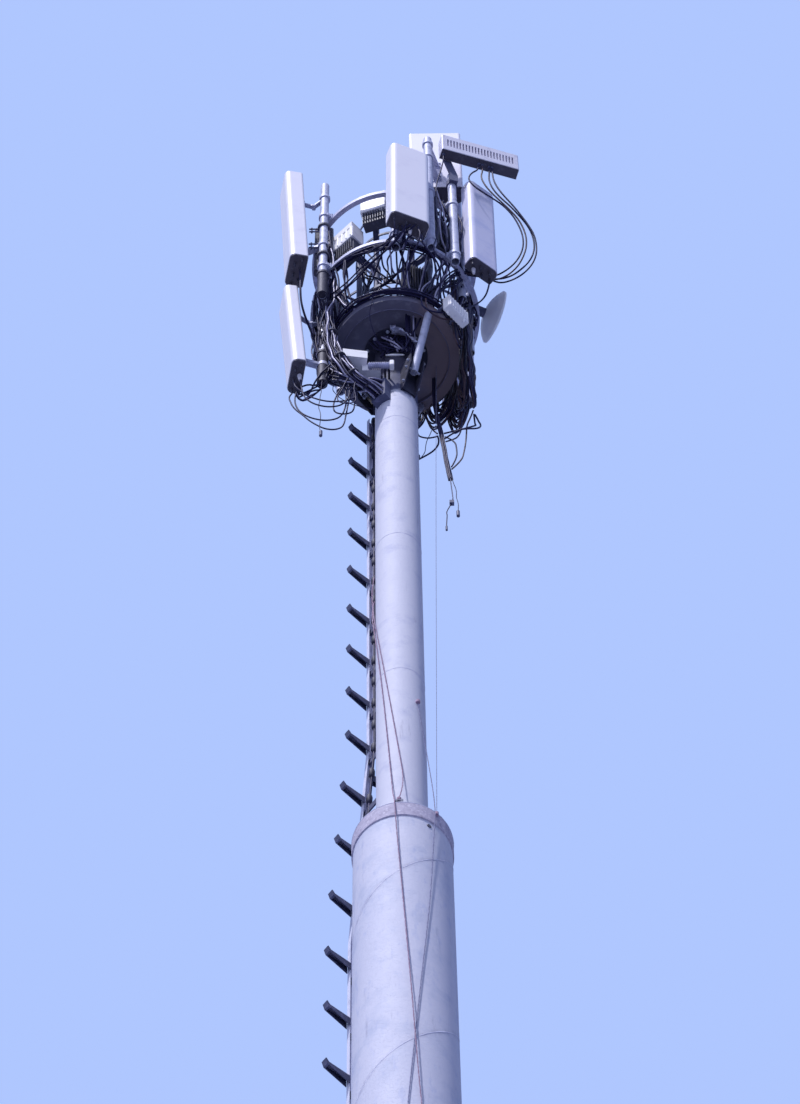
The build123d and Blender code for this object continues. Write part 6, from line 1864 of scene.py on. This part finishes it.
@dataclass
class TrayClutter:
    """The small loose things under the tray: a ribbed strip, a pale bar and a torn sheet."""

    strip_at: Point = (-0.126, -0.262, 29.318)
    strip_length: float = 0.17
    strip_ribs: int = 11
    strip_rods: tuple[float, ...] = (0.045, 0.075)
    block: Point = (0.034, 0.056, 0.084)
    bar_at: Point = (-0.079, -0.168, 29.73)
    sheet_at: Point = (-0.03, -0.262, 30.03)
    sheet_length: float = 0.20
    sheet_rag: float = 0.05
    sheet_grid: tuple[int, int] = (8, 16)
    sheet_thickness: float = 0.002

    def build(self) -> None:
        """Make the strip, the bar and the sheet."""
        self.ribbed_strip()
        self.pale_bar()
        self.torn_sheet()

    def along(self, x: float, y: float = 0.0, z: float = 0.0) -> Matrix:
        """Return a move to a place that is measured from the strip's middle."""
        return move(Vector(self.strip_at) + Vector((x, y, z)))

    def ribbed_strip(self) -> None:
        """Make the connector strip with its ribs, its rods and the pale block at its end."""
        length, half = self.strip_length, self.strip_length / 2
        strip = bmesh.new()
        body = [(0.018, 0), (0.024, 0.004), (0.024, length - 0.004), (0.018, length)]
        lathe(strip, body, 14, self.along(-half) @ spin(90, "Y"))
        for index in range(self.strip_ribs):
            place = self.along(0.008 - half + index * (length - 0.022) / (self.strip_ribs - 1)) @ spin(90, "Y")
            lathe(strip, [(0.026, 0), (0.030, 0.001), (0.030, 0.005), (0.026, 0.006)], 14, place)
        settle(mesh_object("ribbed_strip", strip), HOOP_ZINC)
        rods = bmesh.new()
        for x in self.strip_rods:
            lathe(rods, [(0.006, 0), (0.008, 0.004), (0.008, 0.13)], 8, self.along(x, 0.004) @ spin(-90, "X"))
        settle(mesh_object("strip_rods", rods, True), SADDLE_COAT)
        block = worn_box(self.block, 0.005, self.along(half + 0.012, 0, 0.008))
        settle(mesh_object("strip_block", block), CREAM_COVER)

    def pale_bar(self) -> None:
        """Make the thin pale bar that lies against the mast."""
        mesh = bmesh.new()
        taper = [(0.003, 0), (0.007, 0.012), (0.010, 0.05), (0.010, 0.10), (0.007, 0.138), (0.003, 0.15)]
        lathe(mesh, taper, 12, move(self.bar_at) @ spin(90, "Y"))
        settle(mesh_object("pale_bar", mesh, True), CREAM_COVER)

    def torn_sheet(self) -> None:
        """Make the crumpled sheet that hangs under the saddle."""
        chance = Random(11)
        columns, rows = self.sheet_grid
        start_x, start_y, start_z = self.sheet_at
        mesh = bmesh.new()
        grid = []
        for row in range(rows):
            line = []
            for column in range(columns):
                u = column / (columns - 1)
                v = row / (rows - 1)
                rag = self.sheet_rag * chance.random() if column == columns - 1 else 0.0
                x = start_x + self.sheet_length * v + 0.012 * chance.uniform(-1, 1)
                y = start_y + 0.030 * sin(u * 5) + 0.012 * sin(v * 7 + u * 3)
                fall = 0.05 * v + 0.20 * v * v + (0.035 + 0.07 * v) * u
                z = start_z - fall + rag + chance.uniform(-0.006, 0.006)
                line.append(mesh.verts.new((x, y, z)))
            grid.append(line)
        for low, high in zip(grid, grid[1:]):
            for index in range(columns - 1):
                mesh.faces.new((low[index], low[index + 1], high[index + 1], high[index]))
        made = bmesh.ops.extrude_face_region(mesh, geom=mesh.faces[:])
        for item in made["geom"]:
            if isinstance(item, bmesh.types.BMVert):
                item.co.y += self.sheet_thickness
        settle(mesh_object("torn_sheet", mesh, True), TORN_SHEET)


# View and light
@dataclass(frozen=True)
class ViewPoint:
    """The camera, at eye height before the mast and looking up."""

    distance: float = 12.45
    height: float = 1.6
    pitch: float = 63.58
    turn: float = -0.0524
    roll: float = -0.873
    lens: float = 129.8

    def build(self) -> None:
        """Place the camera and make it the scene's own."""
        data = bpy.data.cameras.new("camera")
        data.lens = self.lens
        data.sensor_width = 36
        data.clip_end = 200
        camera = add_object("camera", data)
        aim = spin(self.turn, "Z") @ spin(90 + self.pitch, "X") @ spin(self.roll, "Z")
        camera.matrix_world = move((0, -self.distance, self.height)) @ aim
        bpy.context.scene.camera = camera


@dataclass(frozen=True)
class Lamp:
    """One broad, even light: where it shines from and how wide it looks, in degrees, and its strength."""

    name: str
    azimuth: float
    height: float
    width: float
    strength: float
    colour: Colour

    def build(self) -> None:
        """Make the light."""
        data = bpy.data.lights.new(self.name, "SUN")
        data.energy = self.strength
        data.color = self.colour
        data.angle = radians(self.width)
        towards = polar(cos(radians(self.height)), self.azimuth, sin(radians(self.height)))
        add_object(self.name, data).rotation_euler = towards.to_track_quat("Z", "Y").to_euler()


@dataclass(frozen=True)
class Studio:
    """The soft light, the pale backdrop and the pale floor."""

    lamps: tuple[Lamp, ...] = (
        Lamp("key", -122, 60, 2.5, 3.3, (0.97, 0.96, 1.0)),
        Lamp("front", -112, 12, 60, 0.75, (0.82, 0.87, 1.0)),
    )
    fill: Colour = (0.46, 0.56, 1.0)
    fill_strength: float = 0.40
    backdrop: Colour = (0.43, 0.57, 1.0)
    floor_half: float = 8.0

    def build(self) -> None:
        """Make the light, the backdrop and the floor."""
        for lamp in self.lamps:
            lamp.build()
        self.sky()
        self.floor()

    def sky(self) -> None:
        """Make the fill light and, for what the camera sees, the pale backdrop."""
        world = bpy.data.worlds.new("sky")
        bpy.context.scene.world = world
        world.use_nodes = True
        world.node_tree.nodes.clear()
        tree = Tree(world.node_tree)
        fill, seen = (
            tree.node("ShaderNodeBackground", {"Color": (*colour, 1), "Strength": strength}).outputs[0]
            for colour, strength in ((self.fill, self.fill_strength), (self.backdrop, 1))
        )
        rays = tree.node("ShaderNodeLightPath").outputs
        direct = tree.sum_up("MAXIMUM", rays["Is Camera Ray"], rays["Is Glossy Ray"])
        every = tree.sum_up("MAXIMUM", direct, rays["Is Transmission Ray"])
        mixed = tree.node("ShaderNodeMixShader", {0: every, 1: fill, 2: seen}).outputs[0]
        tree.node("ShaderNodeOutputWorld", {0: mixed})

    def floor(self) -> None:
        """Make the pale floor."""
        mesh = bmesh.new()
        half = self.floor_half
        corners = ((-half, -half), (half, -half), (half, half), (-half, half))
        mesh.faces.new([mesh.verts.new((x, y, 0)) for x, y in corners])
        piece = mesh_object("floor", mesh)
        shade = Shade("pale_floor")
        shade.join(shade.blend(shade.noise(0.5), (0.80, 0.82, 0.86), (0.84, 0.85, 0.88)), shade.shader.inputs[0])
        shade.join(0.8, shade.shader.inputs["Roughness"])
        piece.data.materials.append(shade.material)


def main() -> None:
    """Build the dressed tower, the light and the view."""
    logging.basicConfig(level=logging.INFO, format="%(name)s: %(message)s")
    bpy.context.scene.view_settings.view_transform = "Standard"
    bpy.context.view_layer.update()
    ViewPoint().build()
    Studio().build()
    shop = Workshop()
    LooseCords(CABLES).build()
    Ropes(shop, "mast_ropes", ROPES).build()
    Mast(shop).build()
    ClimbingGear(shop).build()
    HeadFrame(shop).build()
    AntennaRing(shop).build()
    HeadEquipment().build()
    TiedHarness(shop).build()
    TrayClutter().build()


if __name__ == "__main__":
    main()
